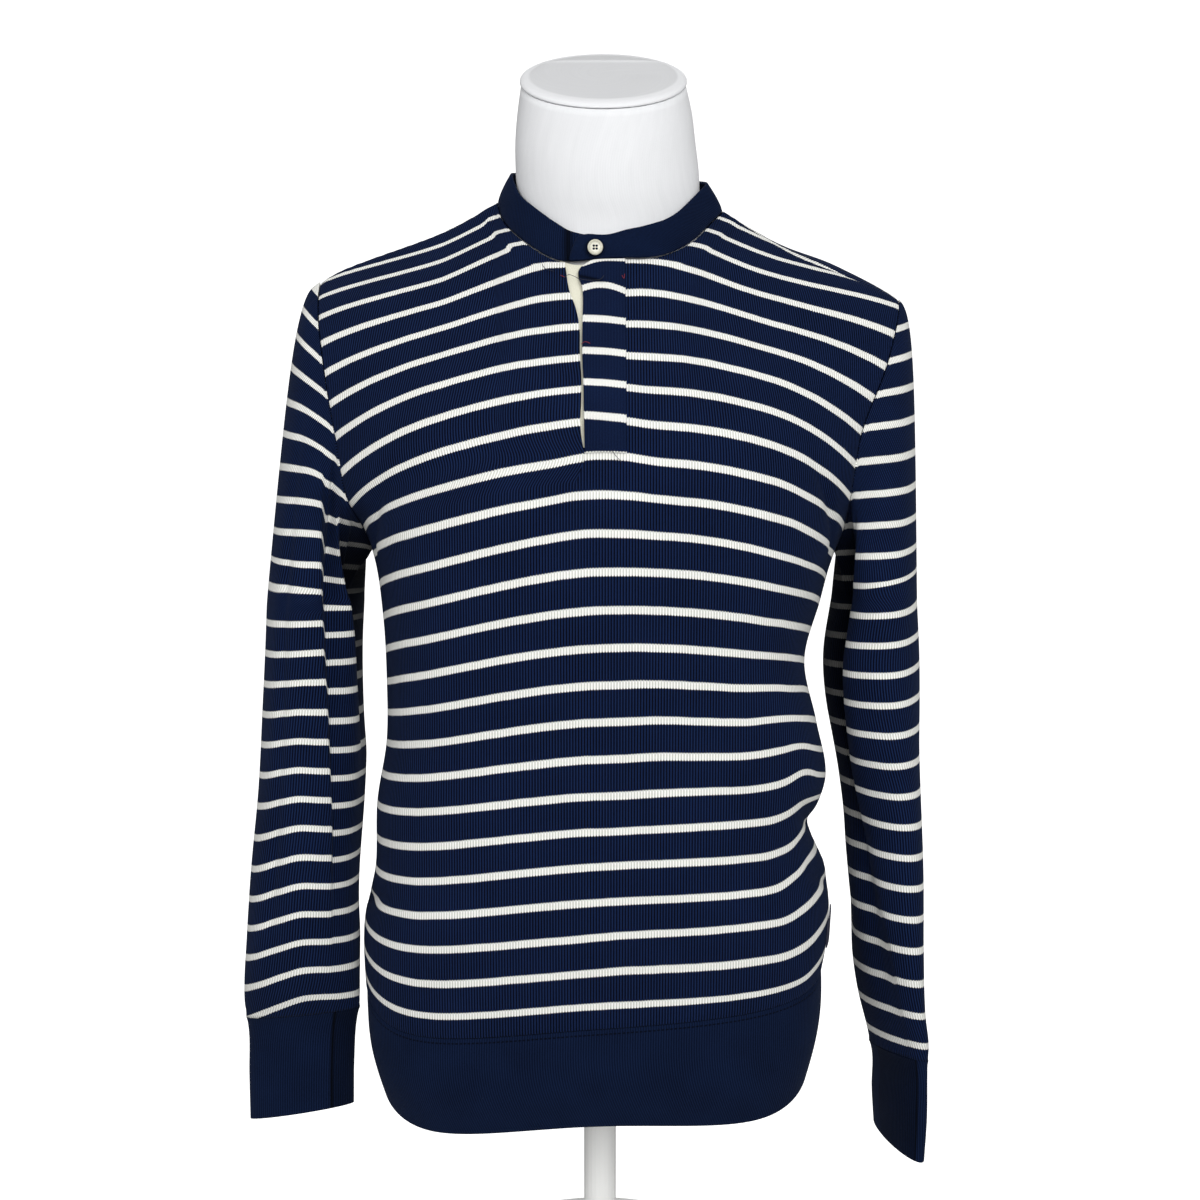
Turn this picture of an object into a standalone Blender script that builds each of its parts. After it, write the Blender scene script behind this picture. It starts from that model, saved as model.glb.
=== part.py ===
"""A striped long-sleeved pullover with a short buttoned placket, on a limbless dress form.

Each cut piece of the pullover is a thin wall with its own faces, 0.3 mm or more from its
neighbours at the seams. Every surface is worked out from a few sections, given in the tables
below in millimetres. +X is the viewer's right, -Y is the front of the garment and +Z is up.
The origin is the middle of the stand's underside.

Heights in the tables are measured from a level DATUM above the floor. A course is one repeat
of the knitted stripe, counted up the body from the first stripe above the hem rib.
"""
import math

import bmesh
import bpy
import numpy as np

MM = 0.001
DATUM = 95.0                  # mm from the floor to the tables' zero height
WALL = 1.5                    # the jersey, mm
RIB_WALL = 2.2                # the doubled rib of collar, cuffs and hem
TAPE_WALL = 1.0
SEAM = 0.27                   # each piece stops this far short of its seam line
LAYER_GAP = 0.6               # between two layers that lie on each other

SEAM_COURSE = -0.8            # where the hem rib is sewn on
UNDERARM_COURSE = 14.3
BACK_YOKE_COURSE = 22.3       # above this the back turns over the shoulder
SIDE_ROWS = 13                # rows of faces from the hem seam to the underarm
ARM_ROWS = 12                 # rows of faces from the underarm to the shoulder
YOKE_ROWS = 3                 # the last of those, over the shoulder
AROUND = 2 * ARM_ROWS         # faces around a sleeve
SQUARE = 0.04                 # how far a body section is squared off


def table(names, *rows):
    """A small table with a name for each column."""
    return dict(zip(names.split(), np.array(rows, float).T))


# The front, one row for every second stripe: the places of its two edges, the height of the
# course at the edges, halfway and at the centre, the depth at the centre and at the edges,
# and how far round the section turns from the centre to the edge, in degrees.
FRONT = table(
    "course left_x left_z left_mid_z centre_z right_mid_z right_x right_z centre_y edge_y turn",
    (-0.8, -185, 180, 160, 173, 182, 175, 192, -110, -12, 90),
    (0, -186, 197, 178, 192, 198, 179, 220, -112, -12, 90),
    (2, -185, 234, 229, 245, 250, 178, 267, -117, -12, 90),
    (4, -176, 273, 280, 298, 300, 165, 304, -118, -12, 90),
    (6, -174, 323, 332, 350, 354, 176, 343, -118, -12, 90),
    (8, -166, 370, 383, 404, 403, 168, 384, -120, -12, 90),
    (10, -165, 415, 434, 457, 448, 158, 432, -124, -12, 90),
    (12, -167, 465, 486, 510, 496, 169, 476, -127, -12, 90),
    (14, -174, 513, 538, 564, 542, 179, 511, -125, -13, 90),
    (15, -180, 536, 566, 592, 570, 186, 536, -121, -30, 76),
    (16, -187, 555, 593, 618, 600, 187, 560, -114, -52, 64),
    (18, -196, 605, 641, 664, 648, 194, 609, -92, -56, 55),
    (20, -205, 652, 682, 711, 687, 213, 657, -62, -45, 55),
    (22, -213, 695, 719, 753, 723, 226, 703, -36, -22, 55),
    (24, -216, 724, 748, 790, 752, 224, 724, -8, 6, 55),
    (26, -210, 743, 772, 826, 776, 216, 742, 14, 22, 55),
)
# Where the front ends: the shoulder seams, and the neckline between the two neck points.
LEFT_NECK = -0.295
RIGHT_NECK = 0.343
FRONT_TOP = table(
    "place course",
    (-1.0, 24.0), (-0.9, 24.3), (-0.75, 24.55), (-0.5, 24.85), (LEFT_NECK, 25.1),
    (-0.275, 24.1), (-0.24, 23.15), (-0.19, 22.28), (-0.13, 21.56), (-0.08, 21.15),
    (0.0, 21.12), (0.06, 21.17), (0.13, 21.33), (0.2, 21.9), (0.25, 22.65), (0.3, 23.8),
    (RIGHT_NECK, 24.8), (0.42, 24.4), (0.55, 23.6), (0.7, 23.15), (1.0, 22.3),
)
SLIT_LEFT = -0.062
SLIT_RIGHT = 0.02
SLIT_ROWS = 10                # rows of faces, down from the neckline, that the slit opens
COLUMNS = (
    -1.0, -0.92, -0.82, -0.7, -0.57, -0.43, LEFT_NECK, -0.275, -0.24, -0.19, -0.13, SLIT_LEFT,
    SLIT_RIGHT, 0.06, 0.13, 0.2, 0.25, 0.3, RIGHT_NECK, 0.46, 0.59, 0.71, 0.82, 0.92, 1.0,
)

BACK = table(
    "course left_mid_z centre_z right_mid_z centre_y turn",
    (-0.8, 172, 170, 178, 97, 90),
    (0, 189, 189, 198, 99, 90),
    (2, 233, 238, 246, 101, 90),
    (4, 280, 288, 294, 95, 90),
    (6, 330, 338, 342, 87, 90),
    (8, 380, 389, 389, 80, 90),
    (10, 429, 438, 436, 76, 90),
    (12, 478, 488, 484, 80, 90),
    (14, 528, 538, 532, 89, 90),
    (16, 577, 588, 580, 99, 72),
    (18, 628, 638, 630, 105, 62),
    (20, 678, 688, 680, 104, 60),
    (22, 720, 732, 722, 94, 60),
    (24, 755, 770, 757, 78, 60),
)
# The back edge of each armhole between the underarm and the shoulder tip.
BACK_ARMHOLE = table(
    "share left_x left_y left_z right_x right_y right_z",
    (0.08, -181, 8, 536, 187, 6, 534),
    (0.2, -187, 30, 562, 194, 29, 560),
    (0.45, -198, 46, 621, 206, 47, 621),
    (0.7, -206, 44, 671, 218, 46, 668),
    (0.85, -212, 33, 702, 226, 31, 696),
    (0.95, -217, 14, 719, 230, 4, 710),
)
# How the back comes over to the shoulder seam or neckline: the pull of the curve's middle.
YOKE = table(
    "place back lift",
    (-1.0, 26, -7), (-0.65, 26, 3), (LEFT_NECK, 30, -2), (0.0, 12, -22),
    (RIGHT_NECK, 34, 4), (0.65, 34, 24), (1.0, 38, 6),
)
BACK_NECK_DEPTH = 48
BACK_NECK_LIFT = 10

# The lower edge of the hem rib, by the same place names as FRONT.
HEM_END = table(
    "left_x left_z left_mid_z centre_z right_mid_z right_x right_z centre_y edge_y",
    (-174, 105, 82, 94, 92, 166, 116, -99, -10),
)
HEM_END_BACK = table("left_mid_z centre_z right_mid_z centre_y", (93, 90, 96, 84))
HEM_ROWS = 5
HEM_BLOUSE = 4.0              # the rib swells this far between its edges

# Sleeve sections below the underarm: the middle, half sizes across and front to back, how far
# the section is turned, how much lower its outer side hangs than its inner one, and how much
# higher its front stands than its back.
LEFT_SLEEVE = table(
    "z x y across deep turn drop rise",
    (480, -220, -9, 37.5, 57, 0, 0, 0),
    (450, -221, -10, 38, 56, 0, 0, 0),
    (400, -222, -13, 40, 54, 0, 0, 0),
    (335, -224.5, -17, 41.5, 52, 0, 0, 0),
    (271, -229.5, -22, 43, 48, 0, 0, 0),
    (215, -232.5, -27, 44, 42, 0, 2, 4),
    (180, -234, -29, 45, 34, 0, 5, 10),
    (165, -234, -30, 45, 27, 0, 7, 15),
    (156, -233.5, -30, 44, 22, 0, 8, 18),
)
LEFT_CUFF = table(
    "z x y across deep turn drop rise",
    (156, -233.5, -30, 44, 22, 0, 8, 18),
    (145, -234, -30, 42.5, 20, 0, 9, 19),
    (112, -235.5, -30, 41.5, 18.5, 0, 11, 21),
    (75, -236, -30, 41, 18, 0, 13, 22),
)
RIGHT_SLEEVE = table(
    "z x y across deep turn drop rise",
    (480, 213.5, -6, 32, 56, 0, 0, 0),
    (431, 211.5, -8, 36.5, 54, 3, 0, 0),
    (400, 213, -8, 35, 54, 6, 0, 0),
    (368, 216, -8, 31.5, 53, 8, 1, 0),
    (335, 220, -8, 27.5, 52, 11, 2, 0),
    (271, 224.5, -7, 24.5, 51, 15, 4, 2),
    (205, 228.5, -6, 20.5, 49, 17, 6, 6),
    (152, 234, -5, 15.5, 47, 18, 8, 13),
    (122, 240, -4, 13.5, 43, 18, 8, 16),
    (114, 240.5, -4, 12.5, 41, 18, 8, 16),
)
RIGHT_CUFF = table(
    "z x y across deep turn drop rise",
    (114, 240.5, -4, 12.5, 41, 18, 8, 16),
    (104, 241.5, -4, 11.5, 40, 18, 8, 14),
    (70, 242, -4, 11.5, 40, 18, 8, 7),
    (38, 242.5, -3, 11, 40, 15, 8, 0),
)
CAP_RINGS = 6                 # rings of faces from the armhole to the first section
TUBE_RINGS = 12
CUFF_RINGS = 3
LEFT_CAP = 0.42               # how far out the sleeve head turns down
RIGHT_CAP = 0.7
CAP_PULL = 2.0                # how sharply it turns there; 1 is a plain curve

# Creases along the sleeves: where they start and end, as a height and a place round the
# sleeve in degrees from the underarm towards the front, their depth and their width.
LEFT_CREASES = table(
    "top_z top_at end_z end_at depth width",
    (600, 96, 250, 52, 11, 26),
    (470, 35, 200, 20, 5, 22),
    (430, 215, 250, 250, 6, 24),
    (360, 300, 220, 330, 5, 22),
)
RIGHT_CREASES = table(
    "top_z top_at end_z end_at depth width",
    (500, 38, 330, 20, 8, 26),
    (330, 30, 130, 55, 6, 20),
    (450, 215, 260, 240, 6, 24),
    (330, 310, 190, 335, 5, 22),
)
# Soft folds in the body: their two ends by place and course, depth and half width in mm.
FRONT_FOLDS = table(
    "from_place from_course to_place to_course depth width",
    (0.97, 4.0, 0.6, 5.2, 5.0, 9.0),
    (0.95, 1.6, 0.7, 3.0, 3.0, 8.0),
    (0.86, 13.6, 0.7, 16.2, 3.0, 11.0),
    (-0.95, 2.6, -0.66, 3.4, 3.5, 8.0),
    (-0.86, 13.8, -0.72, 15.8, 2.5, 11.0),
)
BACK_FOLDS = table(
    "from_place from_course to_place to_course depth width",
    (0.9, 5.0, 0.35, 6.6, 5.0, 11.0),
    (-0.9, 4.2, -0.3, 6.0, 5.0, 11.0),
    (0.85, 8.4, 0.2, 9.6, 4.0, 11.0),
    (-0.85, 13.0, -0.6, 17.5, 4.0, 13.0),
    (0.85, 13.0, 0.6, 17.5, 4.0, 13.0),
)

# The rib collar by its place round the neck in degrees from the right side towards the front:
# its height square to the seam, and how far its top edge leans in.
COLLAR = table(
    "around height lean",
    (-90, 20, 3.5), (-40, 20, 8), (0, 21, 13), (25, 21.5, 8), (50, 22.5, 4.5), (90, 19, 2),
    (130, 22.5, 7), (155, 22.5, 11), (180, 22, 12), (220, 20, 7), (270, 20, 3.5),
)
COLLAR_ROWS = 3
COLLAR_START = 0.06           # the under end, hidden behind the placket
COLLAR_END = -0.078           # the outer end, past the centre
COLLAR_LAP = RIB_WALL + 0.7   # the outer end lies this far in front of the under end
COLLAR_LAP_SPREAD = 0.6       # and by this share more at its top
COLLAR_MIDDLE = (6.0, -2.0)
COLLAR_SWELL = 1.0

PLACKET_LEFT = -13.5
PLACKET_RIGHT = 18.5
PLACKET_START = 15.05         # its sewn lower end, as a course
PLACKET_WALL = 1.3
TAPE_LEFT = -30.0
TAPE_RIGHT = 4.0
TAPE_START = 14.9
STRIP_END = 0.06              # both strips stop this part of a course below the collar
STRIP_ROWS = 14
STRIP_COLUMNS = 4
SLIT_PULL = 9.0               # how far the left edge of the slit is drawn open at the neck
SLIT_PULL_COURSE = 18.6       # where that starts

BUTTON_RADIUS = 5.7
BUTTON_THICKNESS = 2.4
BUTTON_HOLE = 0.95
BUTTON_HOLE_OFFSET = 1.5
BUTTON_PLACE = (-3.5, 743.0)

TAB_COURSES = (0.1, 0.9)
TAB_PLACES = (0.8, 0.94)
TAB_WALL = 1.0
TAB_GAP = 0.8                 # it stands this far off the seam

FORM = table(
    "z x half_width front_y back_y slope",
    (132, -4, 158, -94, 82, 0),
    (180, -5, 168, -99, 86, 0),
    (250, -5, 166, -104, 88, 0),
    (300, -7, 156, -105, 82, 0),
    (340, -1, 156, -105, 76, 0),
    (400, 0, 153, -107, 69, 0),
    (450, -4, 149, -111, 64, 0),
    (510, 0, 154, -113, 68, 0),
    (560, 3, 160, -110, 77, 0),
    (600, 3, 164, -104, 85, 0),
    (640, 3, 168, -92, 89, 0),
    (680, 4, 168, -72, 90, 0),
    (700, 4, 159, -60, 87, 0.08),
    (718, 5, 141, -52, 82, 0.2),
    (735, 5, 115, -46, 72, 0.38),
    (750, 5, 91, -43, 58, 0.5),
    (765, 7, 73, -41, 43, 0.57),
    (784, 6.5, 70, -42, 40, 0.57),
    (806, 5.5, 69.5, -48.5, 38, 0.58),
    (827, 4, 68, -53.5, 35, 0.6),
    (848, 3.5, 65.5, -57, 32, 0.62),
    (868, 2.5, 61.5, -60, 30, 0.64),
)
FORM_AROUND = 36
FORM_END_Z = 126
FORM_END_INSET = 12
CAP_WELT = 1.6
CAP_HEIGHT = 5.0

POLE_RADIUS = 13.0
BASE_RADIUS = 140.0
BASE_HEIGHT = 9.0
HUB_RADIUS = 24.0
HUB_HEIGHT = 16.0
STAND_GAP = 0.3               # between the parts of the stand and under the form
ROUND_SIDES = 48

NAVY = (0.022, 0.03, 0.066, 1)
CREAM = (0.72, 0.68, 0.6, 1)
PEARL = (0.8, 0.77, 0.7, 1)
WHITE_JERSEY = (0.78, 0.78, 0.77, 1)
WHITE_PAINT = (0.8, 0.8, 0.79, 1)


# ---------------------------------------------------------------- curves

def smooth(knots, values, at):
    """A cubic through the knots, whose slope at each comes from its neighbours."""
    slopes = np.gradient(values, knots)
    at = min(max(at, knots[0]), knots[-1])
    i = int(np.clip(np.searchsorted(knots, at) - 1, 0, len(knots) - 2))
    step = knots[i + 1] - knots[i]
    t = (at - knots[i]) / step
    near = (1 + 2 * t) * (1 - t) ** 2 * values[i] + t * (1 - t) ** 2 * step * slopes[i]
    far = t * t * (3 - 2 * t) * values[i + 1] + t * t * (t - 1) * step * slopes[i + 1]
    return near + far


def read(rows, key, at):
    """Every column of a table where its key column has the value at."""
    return {name: smooth(rows[key], values, at) for name, values in rows.items() if name != key}


def ease(low, high, value):
    """0 below low, 1 above high and a soft step between."""
    t = min(max((value - low) / (high - low), 0.0), 1.0)
    return t * t * (3 - 2 * t)


def across(angle):
    return math.sin(angle) + SQUARE * math.sin(3 * angle)


def behind(angle):
    return 1 - (math.cos(angle) - SQUARE * math.cos(3 * angle)) / (1 - SQUARE)


def section_point(row, place):
    """A point of one body section. place runs from -1, the left edge, to 1, the right."""
    full = math.radians(min(row["turn"], 90.0))
    angle = abs(place) * full
    edge_x = row["left_x"] if place < 0 else row["right_x"]
    edge_y = row["left_y"] if place < 0 else row["right_y"]
    x = edge_x * across(angle) / across(full)
    y = row["centre_y"] + (edge_y - row["centre_y"]) * behind(angle) / behind(full)
    heights = [row[name] for name in ("left_z", "left_mid_z", "centre_z", "right_mid_z", "right_z")]
    z = smooth(np.array([-1.0, -0.5, 0.0, 0.5, 1.0]), np.array(heights), place)
    return np.array([x, y, z])


def bezier(start, middle, end, t, pull=1.0):
    """A curve from start to end that is drawn towards the middle, harder with more pull."""
    bend = 2 * t * (1 - t) * pull
    near = (1 - t) ** 2
    far = t * t
    return (near * start + bend * middle + far * end) / (near + bend + far)


# ---------------------------------------------------------------- body

def fold_depth(folds, place, course):
    """How far the soft folds of a panel draw a point in."""
    depth = 0.0
    for i in range(len(folds["depth"])):
        start = np.array([folds["from_place"][i] * 250, folds["from_course"][i] * 25])
        end = np.array([folds["to_place"][i] * 250, folds["to_course"][i] * 25])
        point = np.array([place * 250, course * 25])
        along = np.dot(point - start, end - start) / np.dot(end - start, end - start)
        off = np.linalg.norm(point - start - np.clip(along, 0, 1) * (end - start))
        fade = ease(-0.25, 0.2, along) * (1 - ease(0.5, 1.2, along))
        depth += folds["depth"][i] * fade * math.exp(-(off / folds["width"][i]) ** 2)
    return depth


def front_section(course):
    row = read(FRONT, "course", course)
    row["left_y"] = row["right_y"] = row["edge_y"]
    return row


def inward(point):
    """The level direction from a body point to the middle of the body."""
    way = np.array([-point[0], -point[1] * 1.6, 0.0])
    return way / np.linalg.norm(way)


def front_point(place, course):
    point = section_point(front_section(course), place)
    point = point + inward(point) * fold_depth(FRONT_FOLDS, place, course)
    return point


def slit_pull(point, place, course):
    """The left front is drawn aside at the neck, which shows the tape behind the slit."""
    if place > SLIT_LEFT:
        return point
    pull = SLIT_PULL * ease(SLIT_PULL_COURSE, 21.6, course) * ease(LEFT_NECK, SLIT_LEFT, place)
    return point + np.array([-pull, 0.12 * pull, 0.0])


def front_top(place):
    return np.interp(place, FRONT_TOP["place"], FRONT_TOP["course"])


def side_point(place, course):
    """A point on the side seam, which front and back share."""
    return front_point(place, course)


def upper_course(place, share):
    return UNDERARM_COURSE + share * (front_top(place) - UNDERARM_COURSE)


def front_grid():
    rows = []
    for j in range(SIDE_ROWS + 1):
        course = SEAM_COURSE + (UNDERARM_COURSE - SEAM_COURSE) * j / SIDE_ROWS
        rows.append([slit_pull(front_point(s, course), s, course) for s in COLUMNS])
    for j in range(1, ARM_ROWS + 1):
        share = j / ARM_ROWS
        rows.append([
            slit_pull(front_point(s, upper_course(s, share)), s, upper_course(s, share))
            for s in COLUMNS
        ])
    return np.array(rows)


def armhole_back(side, share):
    """The back edge of an armhole, from the underarm at 0 to the shoulder tip at 1."""
    name = "left" if side < 0 else "right"
    ends = [front_point(side, UNDERARM_COURSE), front_point(side, front_top(side))]
    between = np.array([BACK_ARMHOLE[name + axis] for axis in ("_x", "_y", "_z")])
    points = np.column_stack([ends[0], between, ends[1]])
    knots = np.concatenate([[0.0], BACK_ARMHOLE["share"], [1.0]])
    return np.array([smooth(knots, values, share) for values in points])


def yoke_start():
    return 1 - YOKE_ROWS / ARM_ROWS


def back_section(course):
    row = read(BACK, "course", course)
    for side, name in ((-1, "left"), (1, "right")):
        if course <= UNDERARM_COURSE:
            edge = side_point(side, course)
        else:
            rise = (course - UNDERARM_COURSE) / (BACK_YOKE_COURSE - UNDERARM_COURSE)
            edge = armhole_back(side, rise * yoke_start())
        row[name + "_x"], row[name + "_y"], row[name + "_z"] = edge
    return row


def back_point(place, course, row):
    point = section_point(row, place)
    if abs(place) < 1:
        point = point + inward(point) * fold_depth(BACK_FOLDS, place, course)
    return point


def back_top(place):
    """Where the back ends: on the shoulder seams, or on the back of the neckline."""
    if place <= LEFT_NECK or place >= RIGHT_NECK:
        return front_point(place, front_top(place))
    left = front_point(LEFT_NECK, front_top(LEFT_NECK))
    right = front_point(RIGHT_NECK, front_top(RIGHT_NECK))
    turn = math.pi * (place - LEFT_NECK) / (RIGHT_NECK - LEFT_NECK)
    point = left + (right - left) * (1 - math.cos(turn)) / 2
    return point + np.array([0, BACK_NECK_DEPTH, BACK_NECK_LIFT]) * math.sin(turn)


def back_grid():
    rows = []
    for j in range(SIDE_ROWS + 1):
        course = SEAM_COURSE + (UNDERARM_COURSE - SEAM_COURSE) * j / SIDE_ROWS
        section = back_section(course)
        rows.append([back_point(s, course, section) for s in COLUMNS])
    lower = ARM_ROWS - YOKE_ROWS
    for j in range(1, lower + 1):
        course = UNDERARM_COURSE + (BACK_YOKE_COURSE - UNDERARM_COURSE) * j / lower
        section = back_section(course)
        rows.append([back_point(s, course, section) for s in COLUMNS])
    last = rows[-1]
    for j in range(1, YOKE_ROWS + 1):
        t = j / YOKE_ROWS
        row = []
        for s, start in zip(COLUMNS, last):
            end = back_top(s)
            pull = read(YOKE, "place", s)
            middle = end + np.array([0, pull["back"], pull["lift"]])
            row.append(bezier(start, middle, end, t))
        row[0] = armhole_back(-1, yoke_start() + t * (1 - yoke_start()))
        row[-1] = armhole_back(1, yoke_start() + t * (1 - yoke_start()))
        rows.append(row)
    return np.array(rows)


# ---------------------------------------------------------------- sleeves

def crease_depth(creases, z, degrees):
    """How deep the creases are at one point of a sleeve."""
    depth = 0.0
    for i in range(len(creases["depth"])):
        length = creases["top_z"][i] - creases["end_z"][i]
        along = (creases["top_z"][i] - z) / length
        at = creases["top_at"][i] + (creases["end_at"][i] - creases["top_at"][i]) * along
        off = (degrees - at + 180) % 360 - 180
        fade = ease(-0.05, 0.25, along) * (1 - ease(0.75, 1.05, along))
        depth += creases["depth"][i] * fade * math.exp(-(off / creases["width"][i]) ** 2)
    return depth


def sleeve_point(side, sections, creases, z, degrees):
    """A point of a sleeve or cuff. degrees runs from the inner side round the front."""
    row = read(sections, "z", z)
    turn = math.radians(row["turn"])
    angle = math.radians(degrees) - turn
    out = -row["across"] * math.cos(angle)
    forward = row["deep"] * math.sin(angle)
    outward = out * math.cos(turn) + forward * math.sin(turn)
    ahead = forward * math.cos(turn) - out * math.sin(turn)
    reach = math.hypot(outward, ahead)
    shrink = 1 - crease_depth(creases, z, degrees) / reach
    widest = 2 * max(row["across"], row["deep"])
    height = z + (row["rise"] * ahead - row["drop"] * outward) / widest
    x = row["x"] + side * outward * shrink
    y = row["y"] - ahead * shrink
    return np.array([x, y, height])


def upright(sections):
    """A sleeve table turned over, because the curves read their keys upwards."""
    return {name: values[::-1] for name, values in sections.items()}


def armhole(front, back, column):
    """The armhole's points: underarm, front edge, shoulder tip, back edge."""
    forward = front[SIDE_ROWS:, column]
    rear = back[SIDE_ROWS + 1:-1, column]
    return np.concatenate([forward, rear[::-1]])


def sleeve_grid(side, hole, sections, creases, cap):
    sections = upright(sections)
    top_z = sections["z"][-1]
    end_z = sections["z"][0]
    first = [sleeve_point(side, sections, creases, top_z, m * 360 / AROUND) for m in range(AROUND)]
    rings = [hole]
    for k in range(1, CAP_RINGS):
        ring = []
        for m, (start, end) in enumerate(zip(hole, first)):
            height = (1 - math.cos(2 * math.pi * m / AROUND)) / 2
            middle = start + (0.5 + (cap - 0.5) * height ** 2) * (end - start)
            middle[2] = start[2] - (0.02 + 0.48 * (1 - height) ** 1.5) * (start[2] - end[2])
            ring.append(bezier(start, middle, end, k / CAP_RINGS, CAP_PULL))
        rings.append(np.array(ring))
    for k in range(TUBE_RINGS + 1):
        z = top_z + (end_z - top_z) * k / TUBE_RINGS
        rings.append(np.array([
            sleeve_point(side, sections, creases, z, m * 360 / AROUND) for m in range(AROUND)
        ]))
    return cap_creases(rings, creases)


def cap_creases(rings, creases):
    """The creases that start above the first section run on into the sleeve head."""
    for k in range(1, CAP_RINGS):
        middle = rings[k].mean(axis=0)
        for m in range(AROUND):
            depth = crease_depth(creases, rings[k][m][2], m * 360 / AROUND)
            way = (middle - rings[k][m]) * np.array([1, 1, 0])
            rings[k][m] += way / np.linalg.norm(way) * depth * k / CAP_RINGS
    return np.array(rings)


def cuff_grid(side, sections):
    sections = upright(sections)
    plain = {name: values[:0] for name, values in LEFT_CREASES.items()}
    heights = np.linspace(sections["z"][-1], sections["z"][0], CUFF_RINGS + 1)
    return np.array([
        [sleeve_point(side, sections, plain, z, m * 360 / AROUND) for m in range(AROUND)]
        for z in heights
    ])


# ---------------------------------------------------------------- rib bands, placket

def hem_ring(front, back):
    """The seam where the hem rib is sewn on, all round from the left side seam."""
    return np.concatenate([front[0], back[0][::-1][1:-1]])


def hem_grid(front, back):
    """The hem rib, from its lower edge up to its seam."""
    seam = hem_ring(front, back)
    end = {name: values[0] for name, values in HEM_END.items()}
    end.update(left_y=end["edge_y"], right_y=end["edge_y"], turn=90)
    rear = dict(end)
    rear.update({name: values[0] for name, values in HEM_END_BACK.items()})
    lower = [section_point(end, s) for s in COLUMNS]
    lower += [section_point(rear, s) for s in COLUMNS[::-1][1:-1]]
    rows = []
    for j in range(HEM_ROWS + 1):
        t = j / HEM_ROWS
        row = []
        for low, high in zip(lower, seam):
            point = low + (high - low) * t
            row.append(point - inward(point) * HEM_BLOUSE * math.sin(math.pi * t))
        rows.append(row)
    return np.array(rows)


def collar_seam():
    """The collar's sewn edge from its under end, round the neck, to its outer end."""
    neck = [s for s in COLUMNS if LEFT_NECK <= s <= RIGHT_NECK]
    front_left = [s for s in neck if s <= COLLAR_START][::-1]
    rear = [s for s in neck if LEFT_NECK < s < RIGHT_NECK]
    front_right = [s for s in neck if s > COLLAR_END][::-1] + [COLLAR_END]
    points = []
    laps = []
    for s in front_left:
        course = front_top(s)
        points.append(slit_pull(front_point(s, course), s, course))
        laps.append(0.0)
    for s in rear:
        points.append(back_top(s))
        laps.append(0.0)
    for s in front_right:
        points.append(front_point(s, front_top(s)))
        laps.append(COLLAR_LAP * (1 - ease(0.13, 0.26, s)))
    return points, laps


def collar_grid():
    points, laps = collar_seam()
    columns = []
    for i, point in enumerate(points):
        away = np.array([point[0] - COLLAR_MIDDLE[0], point[1] - COLLAR_MIDDLE[1], 0])
        away = away / np.linalg.norm(away)
        along = points[min(i + 1, len(points) - 1)] - points[max(i - 1, 0)]
        rise = unit(np.cross(along, away))
        around = (math.degrees(math.atan2(-away[1], away[0])) + 90) % 360 - 90
        band = read(COLLAR, "around", around)
        column = []
        for j in range(COLLAR_ROWS + 1):
            t = j / COLLAR_ROWS
            out = laps[i] * (1 + COLLAR_LAP_SPREAD * t) - band["lean"] * t
            out += COLLAR_SWELL * math.sin(math.pi * t)
            column.append(point + rise * band["height"] * t + away * out)
        columns.append(column)
    return np.array(columns).transpose(1, 0, 2)


def place_at(x, course):
    """The place on the front that lies at x, for x near the centre."""
    row = front_section(course)
    full = math.radians(row["turn"])
    edge = row["left_x"] if x < 0 else row["right_x"]
    slope = full * (1 + 3 * SQUARE) / across(full)
    return math.copysign(x / edge / slope, x)


def strip_grid(left, right, start, out):
    """A strip along the centre front, made from the front's own points, moved out."""
    grid = []
    for j in range(STRIP_ROWS + 1):
        row = []
        for i in range(STRIP_COLUMNS + 1):
            x = left + (right - left) * i / STRIP_COLUMNS
            top = front_top(place_at(x, 21.0)) - STRIP_END
            course = start + (top - start) * j / STRIP_ROWS
            s = place_at(x, course)
            step = 0.01
            point = front_point(s, course)
            sideways = front_point(s + step, course) - front_point(s - step, course)
            upward = front_point(s, course + step) - front_point(s, course - step)
            normal = np.cross(sideways, upward)
            row.append(point + normal / np.linalg.norm(normal) * out)
        grid.append(row)
    return np.array(grid)


def tab_grid():
    grid = []
    for course in TAB_COURSES:
        row = []
        for place in np.linspace(*TAB_PLACES, 4):
            point = front_point(place, course)
            row.append(point - inward(point) * (TAB_GAP + TAB_WALL))
        grid.append(row)
    return np.array(grid)


# ---------------------------------------------------------------- walls

def grid_quads(rows, columns, closed, opening=None):
    """The faces of a grid, facing -Y where rows run up and columns run to +X."""
    quads = []
    for j in range(rows - 1):
        for i in range(columns if closed else columns - 1):
            if opening and opening(j, i):
                continue
            k = (i + 1) % columns
            quads.append((j * columns + i, j * columns + k, (j + 1) * columns + k,
                          (j + 1) * columns + i))
    return quads


def cloth(name, grid, wall, colour, closed=False, flip=False, opening=None):
    """One open sheet of cloth, before it is given its thickness."""
    rows, columns = grid.shape[:2]
    quads = grid_quads(rows, columns, closed, opening)
    if flip:
        quads = [quad[::-1] for quad in quads]
    return {"name": name, "points": grid.reshape(-1, 3), "quads": quads, "wall": wall,
            "colour": colour}


def quad_normal(points, quad):
    a, b, c, d = (points[i] for i in quad)
    return unit(np.cross(c - a, d - b))


def meeting_key(point):
    return tuple(np.round(point, 2))


def unit(vector):
    return vector / max(np.linalg.norm(vector), 1e-9)


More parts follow.
